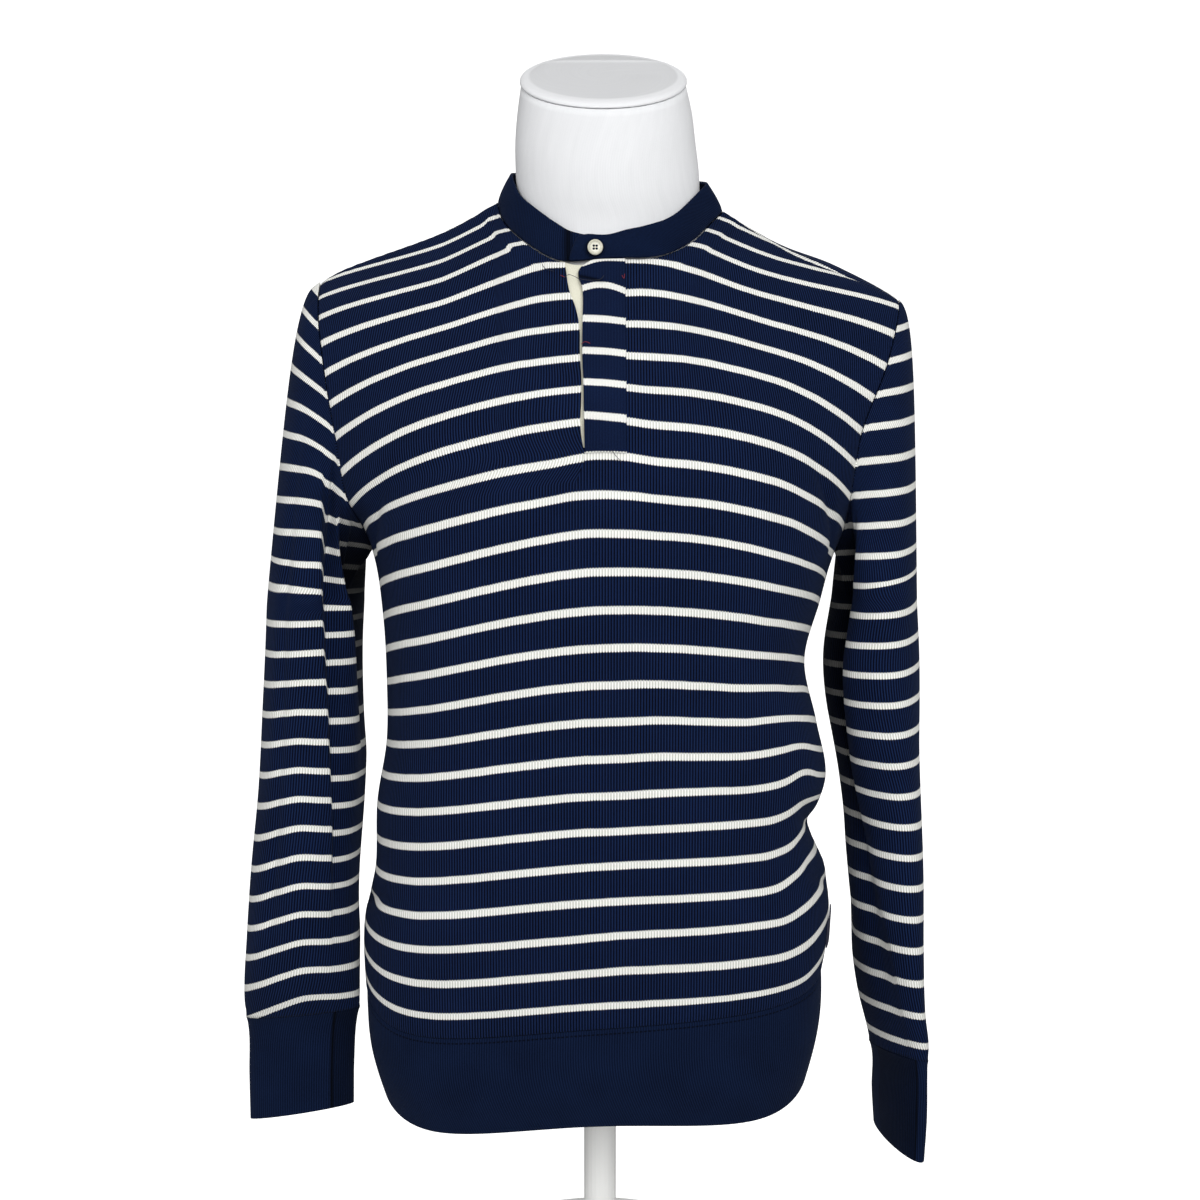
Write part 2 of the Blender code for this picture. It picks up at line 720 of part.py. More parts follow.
def shared_normals(pieces):
    """The normal at each point, halfway between those of the parts that meet there."""
    sums = {}
    for piece in pieces:
        part = "body" if piece["name"] in ("front", "back") else piece["name"]
        for quad in piece["quads"]:
            normal = quad_normal(piece["points"], quad)
            for i in quad:
                parts = sums.setdefault(meeting_key(piece["points"][i]), {})
                parts[part] = parts.get(part, np.zeros(3)) + normal
    return {key: unit(sum(unit(normal) for normal in parts.values()))
            for key, parts in sums.items()}


def border(piece):
    """The edges that have a face on one side only."""
    edges = {(quad[i], quad[(i + 1) % 4]) for quad in piece["quads"] for i in range(4)}
    return sorted(edge for edge in edges if edge[::-1] not in edges)


def drawn_back(piece, edges, directions):
    """The points, with those on the border moved in to leave the seam gap."""
    ways = {}
    for a, b in edges:
        along = piece["points"][b] - piece["points"][a]
        for i in (a, b):
            ways.setdefault(i, []).append(unit(np.cross(directions[i], along)))
    points = piece["points"].copy()
    for i, (first, second) in ways.items():
        points[i] += SEAM * (first + second) / max(1 + first @ second, 0.4)
    return points


def rim_faces(piece, a, b, number, half):
    """The rim along one border edge, split the same way on both sides of a seam."""
    near, far = number[a], number[b]
    if meeting_key(piece["points"][a]) < meeting_key(piece["points"][b]):
        return [(far, near, far + half), (near, near + half, far + half)]
    return [(far, near, near + half), (far, near + half, far + half)]


def wall_mesh(piece, normals):
    """A closed wall: the outer sheet, the inner one and the rims between them."""
    edges = border(piece)
    directions = [normals.get(meeting_key(point), (0, 0, 1)) for point in piece["points"]]
    directions = np.array(directions)
    outer = drawn_back(piece, edges, directions)
    inner = outer - directions * piece["wall"]
    used = sorted({i for quad in piece["quads"] for i in quad})
    number = {old: new for new, old in enumerate(used)}
    points = np.concatenate([outer[used], inner[used]])
    half = len(used)
    faces = []
    for quad in piece["quads"]:
        a, b, c, d = (number[i] for i in quad)
        faces += [(a, b, c), (a, c, d)]
        faces += [(c + half, b + half, a + half), (d + half, c + half, a + half)]
    for a, b in edges:
        faces += rim_faces(piece, a, b, number, half)
    return points, faces


# ---------------------------------------------------------------- objects

def material(name, colour, roughness, metallic=0.0):
    made = bpy.data.materials.get(name)
    if made is None:
        made = bpy.data.materials.new(name)
        made.use_nodes = True
        shader = made.node_tree.nodes["Principled BSDF"]
        shader.inputs["Base Color"].default_value = colour
        shader.inputs["Roughness"].default_value = roughness
        shader.inputs["Metallic"].default_value = metallic
    return made


def add_object(name, points, faces, finish):
    """A mesh object from points in table millimetres."""
    mesh = bpy.data.meshes.new(name)
    lifted = (np.asarray(points) + np.array([0, 0, DATUM])) * MM
    mesh.from_pydata([tuple(point) for point in lifted], [], faces)
    mesh.materials.append(finish)
    mesh.shade_smooth()
    mesh.set_sharp_from_angle(angle=math.radians(50))
    made = bpy.data.objects.new(name, mesh)
    bpy.context.scene.collection.objects.link(made)
    return made


def from_bmesh(name, work, finish):
    mesh = bpy.data.meshes.new(name)
    work.to_mesh(mesh)
    work.free()
    mesh.materials.append(finish)
    mesh.shade_smooth()
    mesh.set_sharp_from_angle(angle=math.radians(40))
    made = bpy.data.objects.new(name, mesh)
    bpy.context.scene.collection.objects.link(made)
    return made


def turned(profile, sides):
    """A closed solid of revolution about Z from (radius, height) pairs in mm, lowest first."""
    work = bmesh.new()
    rings = []
    for radius, height in profile:
        rings.append([
            work.verts.new((
                radius * math.cos(2 * math.pi * i / sides) * MM,
                radius * math.sin(2 * math.pi * i / sides) * MM,
                height * MM,
            ))
            for i in range(sides)
        ])
    for low, high in zip(rings, rings[1:]):
        for i in range(sides):
            k = (i + 1) % sides
            work.faces.new((low[i], low[k], high[k], high[i]))
    work.faces.new(rings[0][::-1])
    work.faces.new(rings[-1])
    return work


def build_garment():
    navy = material("navy_jersey", NAVY, 0.9)
    rib = material("navy_rib", NAVY, 0.92)
    tape = material("cream_tape", CREAM, 0.85)
    front = front_grid()
    back = back_grid()
    slit = COLUMNS.index(SLIT_LEFT)
    slit_start = len(front) - 1 - SLIT_ROWS
    pieces = [
        cloth("front", front, WALL, navy, opening=lambda j, i: i == slit and j >= slit_start),
        cloth("back", back, WALL, navy, flip=True),
    ]
    sleeves = (
        (-1, "left", 0, LEFT_SLEEVE, LEFT_CREASES, LEFT_CUFF, LEFT_CAP),
        (1, "right", len(COLUMNS) - 1, RIGHT_SLEEVE, RIGHT_CREASES, RIGHT_CUFF, RIGHT_CAP),
    )
    for side, name, column, sections, creases, cuff, cap in sleeves:
        hole = armhole(front, back, column)
        sleeve = sleeve_grid(side, hole, sections, creases, cap)
        band = cuff_grid(side, cuff)
        band[0] = sleeve[-1]
        inner_first = side < 0
        pieces.append(cloth("sleeve_" + name, sleeve, WALL, navy, closed=True, flip=not inner_first))
        pieces.append(cloth("cuff_" + name, band, RIB_WALL, rib, closed=True, flip=not inner_first))
    pieces.append(cloth("hem_band", hem_grid(front, back), RIB_WALL, rib, closed=True))
    pieces.append(cloth("collar_band", collar_grid(), RIB_WALL, rib, flip=True))
    normals = shared_normals(pieces)
    strip_out = LAYER_GAP + PLACKET_WALL
    strips = [
        cloth("placket_top", strip_grid(PLACKET_LEFT, PLACKET_RIGHT, PLACKET_START, strip_out),
              PLACKET_WALL, navy),
        cloth("placket_tape", strip_grid(TAPE_LEFT, TAPE_RIGHT, TAPE_START, -WALL - LAYER_GAP),
              TAPE_WALL, tape),
        cloth("side_tab", tab_grid(), TAB_WALL, tape),
    ]
    normals.update(shared_normals(strips))
    for piece in pieces + strips:
        points, faces = wall_mesh(piece, normals)
        add_object(piece["name"], points, faces, piece["colour"])


def build_button():
    """A shirt button with a rim, a dished face and four holes, on the collar's outer end."""
    pearl = material("pearl_button", PEARL, 0.3)
    face = BUTTON_THICKNESS / 2
    profile = (
        (BUTTON_RADIUS - 1.6, -face),
        (BUTTON_RADIUS - 0.3, -face + 0.7),
        (BUTTON_RADIUS, 0.2),
        (BUTTON_RADIUS - 0.3, face - 0.2),
        (BUTTON_RADIUS - 0.8, face),
        (BUTTON_RADIUS - 1.4, face - 0.25),
        (BUTTON_RADIUS - 2.2, face - 0.7),
    )
    button = from_bmesh("button", turned(profile, 40), pearl)
    x, z = BUTTON_PLACE
    collar = collar_grid()
    outer = collar[:, -3:].reshape(-1, 3)
    y = outer[:, 1].min() - face - LAYER_GAP
    button.location = (x * MM, y * MM, (z + DATUM) * MM)
    button.rotation_euler = (math.radians(90), 0, 0)
    for k in range(4):
        turn = math.radians(45 + 90 * k)
        hole = from_bmesh("button_hole_%d" % k, turned(((BUTTON_HOLE, -3), (BUTTON_HOLE, 3)), 12),
                          pearl)
        hole.parent = button
        hole.location = (BUTTON_HOLE_OFFSET * math.cos(turn) * MM,
                         BUTTON_HOLE_OFFSET * math.sin(turn) * MM, 0)
        hole.hide_render = True
        hole.display_type = "WIRE"
        cut = button.modifiers.new("hole_%d" % k, "BOOLEAN")
        cut.operation = "DIFFERENCE"
        cut.object = hole


def form_ring(row, inset=0.0, lift=0.0):
    """One level section of the form, tipped by its slope."""
    ring = []
    middle = (row["front_y"] + row["back_y"]) / 2
    for i in range(FORM_AROUND):
        angle = 2 * math.pi * i / FORM_AROUND
        x = row["x"] + (row["half_width"] - inset) * math.cos(angle)
        reach = (row["back_y"] - row["front_y"]) / 2 - inset
        y = middle + reach * math.sin(angle)
        z = row["z"] + row["slope"] * (y - middle) + lift
        ring.append((x, y, z))
    return ring


def lofted(rings):
    """A closed solid through rings, lowest first."""
    count = len(rings[0])
    faces = []
    for j in range(len(rings) - 1):
        for i in range(count):
            k = (i + 1) % count
            faces.append((j * count + i, j * count + k, (j + 1) * count + k, (j + 1) * count + i))
    faces.append(tuple(range(count))[::-1])
    faces.append(tuple((len(rings) - 1) * count + i for i in range(count)))
    return [point for ring in rings for point in ring], faces


def form_row(i):
    return {name: values[i] for name, values in FORM.items()}


def build_form():
    jersey = material("form_jersey", WHITE_JERSEY, 0.45)
    bottom = form_row(0)
    bottom["z"] = FORM_END_Z
    rings = [form_ring(bottom, inset=FORM_END_INSET)]
    rings += [form_ring(form_row(i)) for i in range(len(FORM["z"]))]
    points, faces = lofted(rings)
    add_object("form_body", points, faces, jersey)
    top = form_row(-1)
    start = 0.4
    profile = (
        (0.8, start), (-CAP_WELT * 0.6, start + 1.2), (-CAP_WELT * 0.6, start + 2.6),
        (1.2, start + CAP_HEIGHT - 1.2), (4.0, start + CAP_HEIGHT),
    )
    points, faces = lofted([form_ring(top, inset, lift) for inset, lift in profile])
    add_object("form_cap", points, faces, jersey)


def build_stand():
    paint = material("white_paint", WHITE_PAINT, 0.4)
    base = (
        (BASE_RADIUS - 1.0, 0), (BASE_RADIUS, 1.0), (BASE_RADIUS, BASE_HEIGHT - 2.5),
        (BASE_RADIUS - 2.5, BASE_HEIGHT),
    )
    from_bmesh("stand_base", turned(base, ROUND_SIDES), paint)
    hub_foot = BASE_HEIGHT + STAND_GAP
    hub_top = hub_foot + HUB_HEIGHT
    hub = ((HUB_RADIUS, hub_foot), (HUB_RADIUS - 2.0, hub_top))
    from_bmesh("stand_hub", turned(hub, 24), paint)
    foot = hub_top + STAND_GAP
    top = DATUM + FORM_END_Z - STAND_GAP
    pole = ((POLE_RADIUS, foot), (POLE_RADIUS, top))
    from_bmesh("stand_pole", turned(pole, 24), paint)


def clear_scene():
    for old in list(bpy.data.objects):
        bpy.data.objects.remove(old, do_unlink=True)


clear_scene()
build_garment()
build_button()
build_form()
build_stand()
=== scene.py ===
"""A striped long-sleeved pullover with a short buttoned placket, on a limbless dress form.

After the camera and the room with its light, the sections follow the order in which the object
is put together: the dress form and its stand, the pullover's front and back, the sleeves, cuffs
and hem, the placket, the collar, the button and tab, and the last loose threads. Lengths are
millimetres until a mesh is made. +X is the viewer's right, -Y is the front of the pullover and
+Z is up.
"""
import math

import bmesh
import bpy
import numpy as np
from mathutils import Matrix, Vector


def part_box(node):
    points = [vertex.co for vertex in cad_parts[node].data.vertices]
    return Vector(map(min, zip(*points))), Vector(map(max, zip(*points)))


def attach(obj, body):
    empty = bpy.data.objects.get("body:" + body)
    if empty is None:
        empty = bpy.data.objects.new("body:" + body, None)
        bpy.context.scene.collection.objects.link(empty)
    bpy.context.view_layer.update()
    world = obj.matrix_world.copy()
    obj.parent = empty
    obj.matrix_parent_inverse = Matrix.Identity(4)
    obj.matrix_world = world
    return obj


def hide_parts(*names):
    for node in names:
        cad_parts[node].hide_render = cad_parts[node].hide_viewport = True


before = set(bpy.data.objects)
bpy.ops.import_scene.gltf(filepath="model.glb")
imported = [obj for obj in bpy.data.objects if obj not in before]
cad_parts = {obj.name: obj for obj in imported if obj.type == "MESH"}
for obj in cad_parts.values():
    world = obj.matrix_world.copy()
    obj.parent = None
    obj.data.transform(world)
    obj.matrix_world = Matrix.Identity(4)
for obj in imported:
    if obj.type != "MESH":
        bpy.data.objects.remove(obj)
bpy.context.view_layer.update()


# ------------------------------------------------------------------------------- camera
# The photograph was taken from chest height about 1.1 m in front of the form, a little
# downwards. Its focal length, in photograph pixels, is fitted to the form's neck and outline.
PHOTO_PIXELS = 1200
FOCAL_PIXELS = 1472
SENSOR = 36.0

camera_data = bpy.data.cameras.new("camera")
camera_data.sensor_width = SENSOR
camera_data.lens = SENSOR * FOCAL_PIXELS / PHOTO_PIXELS
camera = bpy.data.objects.new("camera", camera_data)
camera.location = (0, -1.15, 0.69)
camera.rotation_euler = (math.radians(84.2), 0, 0)
bpy.context.scene.collection.objects.link(camera)
bpy.context.scene.camera = camera


# ---------------------------------------------------------------------------- room, light
# A white paper sweep goes all round under and behind the form. It is matt, lit and a little
# luminous, so that it comes out as white as the photograph's ground.
SWEEP_LEVEL = 7.0             # m from the middle to where the paper starts to rise
SWEEP_RADIUS = 9.0
SWEEP_WALL = 7.0
SWEEP_DROP = 0.0003           # the paper lies this far below the stand's underside
SWEEP_SIDES = 72


def linear(hex_colour):
    """An sRGB hex colour as the linear RGBA that a shader takes."""
    parts = [int(hex_colour[i:i + 2], 16) / 255 for i in (1, 3, 5)]
    return tuple(c / 12.92 if c <= 0.04045 else ((c + 0.055) / 1.055) ** 2.4 for c in parts) + (1,)


def node(tree, kind, settings, inputs):
    """Adds one node with its settings, its values and its links."""
    made = tree.nodes.new(kind)
    for name, value in settings.items():
        setattr(made, name, value)
    for name, value in inputs.items():
        if isinstance(value, bpy.types.Node):
            value = value.outputs[0]
        if isinstance(value, bpy.types.NodeSocket):
            tree.links.new(value, made.inputs[name])
        else:
            made.inputs[name].default_value = value
    return made


def start_material(name):
    """An empty material, with its node tree and output."""
    made = bpy.data.materials.new(name)
    made.use_nodes = True
    made.node_tree.nodes.clear()
    output = node(made.node_tree, "ShaderNodeOutputMaterial", {}, {})
    return made, made.node_tree, output


def link_surface(tree, output, shader):
    tree.links.new(shader.outputs[0], output.inputs["Surface"])


def shaded(tree, colour):
    """The colour, darker where a piece's shade says so: deep in folds that little light reaches."""
    shade = node(tree, "ShaderNodeAttribute", {"attribute_name": "shade"}, {})
    return node(tree, "ShaderNodeMix", {"data_type": "RGBA"},
                {0: shade.outputs["Fac"], 6: colour, 7: linear("#010204")})


def add_object(name, mesh):
    made = bpy.data.objects.new(name, mesh)
    bpy.context.scene.collection.objects.link(made)
    return made


def make_sweep():
    bend = SWEEP_RADIUS - SWEEP_LEVEL
    profile = [(4.0, -SWEEP_DROP), (SWEEP_LEVEL, -SWEEP_DROP)]
    for k in range(1, 10):
        turn = math.radians(10 * k)
        profile.append((SWEEP_LEVEL + bend * math.sin(turn),
                        bend * (1 - math.cos(turn)) - SWEEP_DROP))
    profile.append((SWEEP_RADIUS, SWEEP_WALL))
    work = bmesh.new()
    rings = []
    for radius, height in profile:
        turns = [2 * math.pi * i / SWEEP_SIDES for i in range(SWEEP_SIDES)]
        rings.append([
            work.verts.new((radius * math.cos(turn), radius * math.sin(turn), height))
            for turn in turns
        ])
    middle = work.verts.new((0, 0, -SWEEP_DROP))
    for i in range(SWEEP_SIDES):
        work.faces.new((middle, rings[0][i], rings[0][(i + 1) % SWEEP_SIDES]))
    for low, high in zip(rings, rings[1:]):
        for i in range(SWEEP_SIDES):
            k = (i + 1) % SWEEP_SIDES
            work.faces.new((low[i], high[i], high[k], low[k]))
    mesh = bpy.data.meshes.new("paper_sweep")
    work.to_mesh(mesh)
    work.free()
    mesh.shade_smooth()
    return add_object("paper_sweep", mesh)


def make_sweep_paper():
    made, tree, output = start_material("white_studio_paper")
    grain = node(tree, "ShaderNodeTexNoise", {}, {"Scale": 900.0, "Detail": 3.0})
    bump = node(tree, "ShaderNodeBump", {}, {"Height": grain, "Strength": 0.05, "Distance": 0.0002})
    paper = node(tree, "ShaderNodeBsdfPrincipled", {}, {
        "Base Color": linear("#F4F4F3"), "Roughness": 0.9, "Specular IOR Level": 0.2,
        "Emission Color": linear("#FFFFFF"), "Emission Strength": 0.9, "Normal": bump,
    })
    link_surface(tree, output, paper)
    return made


sweep = make_sweep()
sweep.data.materials.append(make_sweep_paper())
sweep.visible_diffuse = False
sweep.visible_glossy = False
sweep.visible_shadow = False

# One big soft light stands in front, a little to the viewer's right and above, with a weaker
# one opposite. The white room itself gives the rest. Each row has a place and a size in metres,
# and watts.
LIGHTS = (
    ("key_softbox", (0.55, -2.5, 1.55), (1.7, 1.9), 54.0),
    ("fill_softbox", (-1.7, -1.9, 1.5), (1.2, 1.6), 13.0),
    ("back_softbox", (0.2, 2.4, 2.3), (1.8, 1.4), 10.0),
)
LIGHTS_AIM = (0.0, 0.0, 0.62)
ROOM_LIGHT = 0.34


def add_softbox(name, place, size, watts):
    data = bpy.data.lights.new(name, "AREA")
    data.shape = "RECTANGLE"
    data.size, data.size_y = size
    data.energy = watts
    made = bpy.data.objects.new(name, data)
    made.location = place
    aim = np.array(LIGHTS_AIM) - np.array(place)
    made.rotation_euler = (math.atan2(math.hypot(aim[0], aim[1]), -aim[2]), 0,
                           math.atan2(aim[1], aim[0]) - math.pi / 2)
    bpy.context.scene.collection.objects.link(made)


for softbox in LIGHTS:
    add_softbox(*softbox)

world = bpy.data.worlds.new("white_room")
world.use_nodes = True
world.node_tree.nodes["Background"].inputs["Color"].default_value = linear("#FFFFFF")
world.node_tree.nodes["Background"].inputs["Strength"].default_value = ROOM_LIGHT
bpy.context.scene.world = world
bpy.context.scene.view_settings.view_transform = "Standard"


# ---------------------------------------------------------------------------- dress form
# A limbless torso of foam, covered in a stretched tube of fine white cotton jersey. The neck
# ends in a jersey-covered cap, tilted to the front, with a soft welt across it.
MM = 0.001
DATUM = 95.0                  # mm from the floor to the zero height of every table


def table(names, *rows):
    """A small table with a name for each column."""
    return dict(zip(names.split(), np.array(rows, float).T))


def smooth(knots, values, at):
    """A cubic through the knots, whose slope at each comes from its neighbours."""
    knots = np.asarray(knots, float)
    values = np.asarray(values, float)
    slopes = np.gradient(values, knots, axis=-1)
    at = np.clip(np.asarray(at, float), knots[0], knots[-1])
    i = np.clip(np.searchsorted(knots, at) - 1, 0, len(knots) - 2)

    def pick(rows, k):
        if rows.ndim == 1:
            return rows[k]
        return np.take_along_axis(rows, k[..., None], -1)[..., 0]

    step = knots[i + 1] - knots[i]
    t = (at - knots[i]) / step
    near = (1 + 2 * t) * (1 - t) ** 2 * pick(values, i) + t * (1 - t) ** 2 * step * pick(slopes, i)
    far = t * t * (3 - 2 * t) * pick(values, i + 1) + t * t * (t - 1) * step * pick(slopes, i + 1)
    return near + far


def read(rows, key, at):
    """Every column of a table where its key column has the value at."""
    return {name: smooth(rows[key], values, at) for name, values in rows.items() if name != key}


def lengths(grid, axis):
    """How far each point of a grid lies from the first one, along its row or column."""
    steps = np.linalg.norm(np.diff(grid, axis=axis), axis=-1)
    start = np.zeros_like(np.take(steps, [0], axis=axis))
    return np.concatenate([start, np.cumsum(steps, axis=axis)], axis=axis)


def knit(name, grid, across, along, tube=False, flip=False, skip=None):
    """A mesh from a grid of points in mm. across and along are each point's flat place in mm,
    kept as the UV map, with one more column than the points where the grid is a tube."""
    rows, columns = grid.shape[:2]
    j, i = np.mgrid[0:rows - 1, 0:columns if tube else columns - 1]
    j, i = j.ravel(), i.ravel()
    if skip is not None:
        keep = ~skip(j, i)
        j, i = j[keep], i[keep]
    corners = [(j, i), (j, i + 1), (j + 1, i + 1), (j + 1, i)]
    if flip:
        corners = corners[::-1]
    quads = np.stack([row * columns + column % columns for row, column in corners], 1)
    flat = np.stack([np.stack([across[corner], along[corner]], -1) for corner in corners], 1)
    used, quads = np.unique(quads, return_inverse=True)
    points = (grid.reshape(-1, 3)[used] + np.array([0, 0, DATUM])) * MM
    mesh = bpy.data.meshes.new(name)
    mesh.from_pydata(points.tolist(), [], quads.reshape(-1, 4).tolist())
    layer = mesh.uv_layers.new(name="cloth")
    layer.data.foreach_set("uv", (flat * MM).ravel())
    mesh.shade_smooth()
    return add_object(name, mesh)


def ease(low, high, value):
    """0 below low, 1 above high and a soft step between."""
    t = np.clip((value - low) / (high - low), 0.0, 1.0)
    return t * t * (3 - 2 * t)


def set_shade(piece, shade):
    """Keeps how deep in shadow each point of a grid lies, from 0 to 1."""
    layer = piece.data.attributes.new("shade", "FLOAT", "POINT")
    layer.data.foreach_set("value", np.clip(shade, 0, 1).ravel())


FORM = table(
    "z x half_width front_y back_y slope",
    (132, -4, 158, -94, 82, 0),
    (180, -5, 168, -99, 86, 0),
    (250, -5, 166, -104, 88, 0),
    (300, -7, 156, -105, 82, 0),
    (340, -1, 156, -105, 76, 0),
    (400, 0, 153, -107, 69, 0),
    (450, -4, 149, -111, 64, 0),
    (510, 0, 154, -113, 68, 0),
    (560, 3, 160, -110, 77, 0),
    (600, 3, 164, -104, 85, 0),
    (640, 3, 168, -92, 89, 0),
    (680, 4, 168, -72, 90, 0),
    (700, 4, 159, -60, 87, 0.08),
    (718, 5, 141, -52, 82, 0.2),
    (735, 5, 115, -46, 72, 0.38),
    (750, 5, 91, -43, 58, 0.5),
    (765, 7, 73, -41, 43, 0.57),
    (784, 6.5, 70, -42, 40, 0.57),
    (806, 5.5, 69.5, -48.5, 38, 0.58),
    (827, 4, 68, -53.5, 35, 0.6),
    (848, 3.5, 65.5, -57, 32, 0.62),
    (868, 2.5, 61.5, -60, 30, 0.64),
)
FORM_AROUND = 120
FORM_RINGS = 130
CAP_START = 0.4               # the cap stands this far off the neck's end
CAP_HEIGHT = 5.0
CAP_RIDGE = 2.4               # how high the welt across the cap stands
CAP_RIDGE_PLACE = 0.5         # where it runs, as a share of the way from the middle to the back
CAP_WELT = 0.9                # the welt's own roll, and its half width as such a share
CAP_WELT_WIDTH = 0.035
# Rings that round the form's underside, and that close its neck under the cap: how far each is
# set in, and how much higher it lies.
FORM_UNDER = table("inset lift", (150, -6), (80, -6), (12, -6), (4, -4))
FORM_OVER = table("inset lift", (1.0, 0), (30, 0), (50, 0))
# The cap's rolled rim, from its underside round to its flat top.
CAP_RIM = table(
    "inset lift",
    (0.8, 0.0), (-0.4, 0.5), (-0.95, 1.3), (-0.95, 2.6), (-0.3, 3.6), (1.0, 4.5), (2.6, 4.9),
    (4.0, CAP_HEIGHT),
)
# The cap's cover gets painted shade, a little greyer than the neck's and greyest behind the welt,
# and a painted highlight on the welt, which is pale.
CAP_SHADE = 0.16
CAP_BACK_SHADE = 0.06
CAP_WELT_SHADE = -0.14


def form_rings(rows, inset, lift):
    """Level rings of the form, tipped by their slope. inset and lift go ring by ring."""
    angle = np.linspace(0, 2 * np.pi, FORM_AROUND, endpoint=False)
    inset = np.asarray(inset, float)[:, None]
    middle = ((rows["front_y"] + rows["back_y"]) / 2)[:, None]
    reach = ((rows["back_y"] - rows["front_y"]) / 2)[:, None] - inset
    x = rows["x"][:, None] + (rows["half_width"][:, None] - inset) * np.cos(angle)
    y = middle + reach * np.sin(angle)
    z = rows["z"][:, None] + rows["slope"][:, None] * (y - middle) + np.asarray(lift)[:, None]
    return np.stack([x, y, z], -1)


def ring_places(grid):
    """Flat places for a closed tube: round it and up it."""
    closed = np.concatenate([grid, grid[:, :1]], axis=1)
    return lengths(closed, 1), lengths(closed, 0)


def make_form_body():
    heights = np.linspace(FORM["z"][0], FORM["z"][-1], FORM_RINGS)
    rows = read(FORM, "z", heights)
    rows["z"] = heights
    body = form_rings(rows, np.zeros(FORM_RINGS), np.zeros(FORM_RINGS))
    first = {name: np.repeat(values[:1], 4) for name, values in rows.items()}
    under = form_rings(first, FORM_UNDER["inset"], FORM_UNDER["lift"])
    under[0] = under[0].mean(axis=0)
    last = {name: np.repeat(values[-1:], 3) for name, values in rows.items()}
    over = form_rings(last, FORM_OVER["inset"], FORM_OVER["lift"])
    over[2] = over[2].mean(axis=0)
    grid = np.concatenate([under, body, over])
    return knit("form_cover", grid, *ring_places(grid), tube=True)


def make_form_cap():
    rim = len(CAP_RIM["inset"])
    shares = np.concatenate([np.linspace(0.985, 0.06, 26), [0.0]])
    last = {name: values[-1] for name, values in FORM.items()}
    rows = {name: np.full(rim + len(shares), value) for name, value in last.items()}
    reach = (last["back_y"] - last["front_y"]) / 2
    inset = np.append(CAP_RIM["inset"], np.full(len(shares), CAP_RIM["inset"][-1]))
    lift = np.append(CAP_RIM["lift"], np.full(len(shares), CAP_HEIGHT)) + CAP_START
    grid = form_rings(rows, inset, lift)
    middle = grid[rim - 1].mean(axis=0)
    for k, share in enumerate(shares):
        ring = middle + (grid[rim - 1] - middle) * share
        back = (ring[:, 1] - middle[1]) / reach
        tent = np.where(back < CAP_RIDGE_PLACE, (back + 1) / (CAP_RIDGE_PLACE + 1),
                        (1 - back) / (1 - CAP_RIDGE_PLACE))
        welt = np.exp(-((back - CAP_RIDGE_PLACE) / CAP_WELT_WIDTH) ** 2)
        edge = 1 - share ** 10
        ring[:, 2] += (CAP_RIDGE * tent + CAP_WELT * welt) * edge
        grid[rim + k] = ring
    made = knit("neck_cap", grid, *ring_places(grid), tube=True)
    off_welt = (grid[..., 1] - middle[1]) / reach - CAP_RIDGE_PLACE
    # Painted shade on the cap's cover, lighter on the welt as a painted highlight.
    shade = (CAP_SHADE + CAP_BACK_SHADE * ease(-0.03, 0.05, off_welt)
             + CAP_WELT_SHADE * np.exp(-(off_welt / 0.04) ** 2))
    shade[:rim + 1] = 0.0
    set_shade(made, shade)
    return made


def make_form_jersey():
    """White cotton and elastane single jersey, stretched over the foam and brushed smooth.

    It has fine upright wales, a faint satin sheen and small uneven places in the stretch."""
    made, tree, output = start_material("stretched_white_jersey")
    place = node(tree, "ShaderNodeUVMap", {"uv_map": "cloth"}, {})
    parts = node(tree, "ShaderNodeSeparateXYZ", {}, {0: place})
    wale_pitch = 0.0019           # drawn nearly twice as coarse as the real 1 mm, to show
    turn = node(tree, "ShaderNodeMath", {"operation": "MULTIPLY"},
                {0: parts.outputs[0], 1: 2 * math.pi / wale_pitch})
    wale = node(tree, "ShaderNodeMath", {"operation": "SINE"}, {0: turn})
    stretch = node(tree, "ShaderNodeMapping", {}, {"Vector": place, "Scale": (220.0, 30.0, 1.0)})
    streak = node(tree, "ShaderNodeTexNoise", {}, {"Vector": stretch, "Scale": 1.0, "Detail": 4.0})
    fibre = node(tree, "ShaderNodeTexNoise", {}, {"Vector": place, "Scale": 2400.0, "Detail": 2.0})
    cloud = node(tree, "ShaderNodeTexNoise", {}, {"Vector": place, "Scale": 14.0, "Detail": 2.0})
    streaked = node(tree, "ShaderNodeMath", {"operation": "MULTIPLY_ADD"},
                    {0: wale, 1: 0.05, 2: streak.outputs[0]})
    worn = node(tree, "ShaderNodeMath", {"operation": "MULTIPLY_ADD"},
                {0: cloud.outputs[0], 1: 0.5, 2: streaked})
    colour = node(tree, "ShaderNodeMapRange", {}, {
        "Value": worn, "From Min": 0.45, "From Max": 1.1, "To Min": 0.0, "To Max": 1.0})
    mixed = node(tree, "ShaderNodeMix", {"data_type": "RGBA"},
                 {0: colour, 6: linear("#E9EAEC"), 7: linear("#EFF0F2")})
    relief = node(tree, "ShaderNodeMath", {"operation": "MULTIPLY_ADD"},
                  {0: wale, 1: 0.3, 2: fibre.outputs[0]})
    bump = node(tree, "ShaderNodeBump", {}, {"Height": relief, "Strength": 0.35,
                                             "Distance": 0.0002})
    jersey = node(tree, "ShaderNodeBsdfPrincipled", {}, {
        "Base Color": shaded(tree, mixed.outputs[2]).outputs[2], "Roughness": 0.62,
        "Specular IOR Level": 0.35, "Sheen Weight": 0.08, "Sheen Roughness": 0.4, "Normal": bump,
    })
    link_surface(tree, output, jersey)
    return made


form_jersey = make_form_jersey()
for form_piece, form_node in ((make_form_body(), "form_body"), (make_form_cap(), "form_cap")):
    form_piece.data.materials.append(form_jersey)
    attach(form_piece, "root")
    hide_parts(form_node)


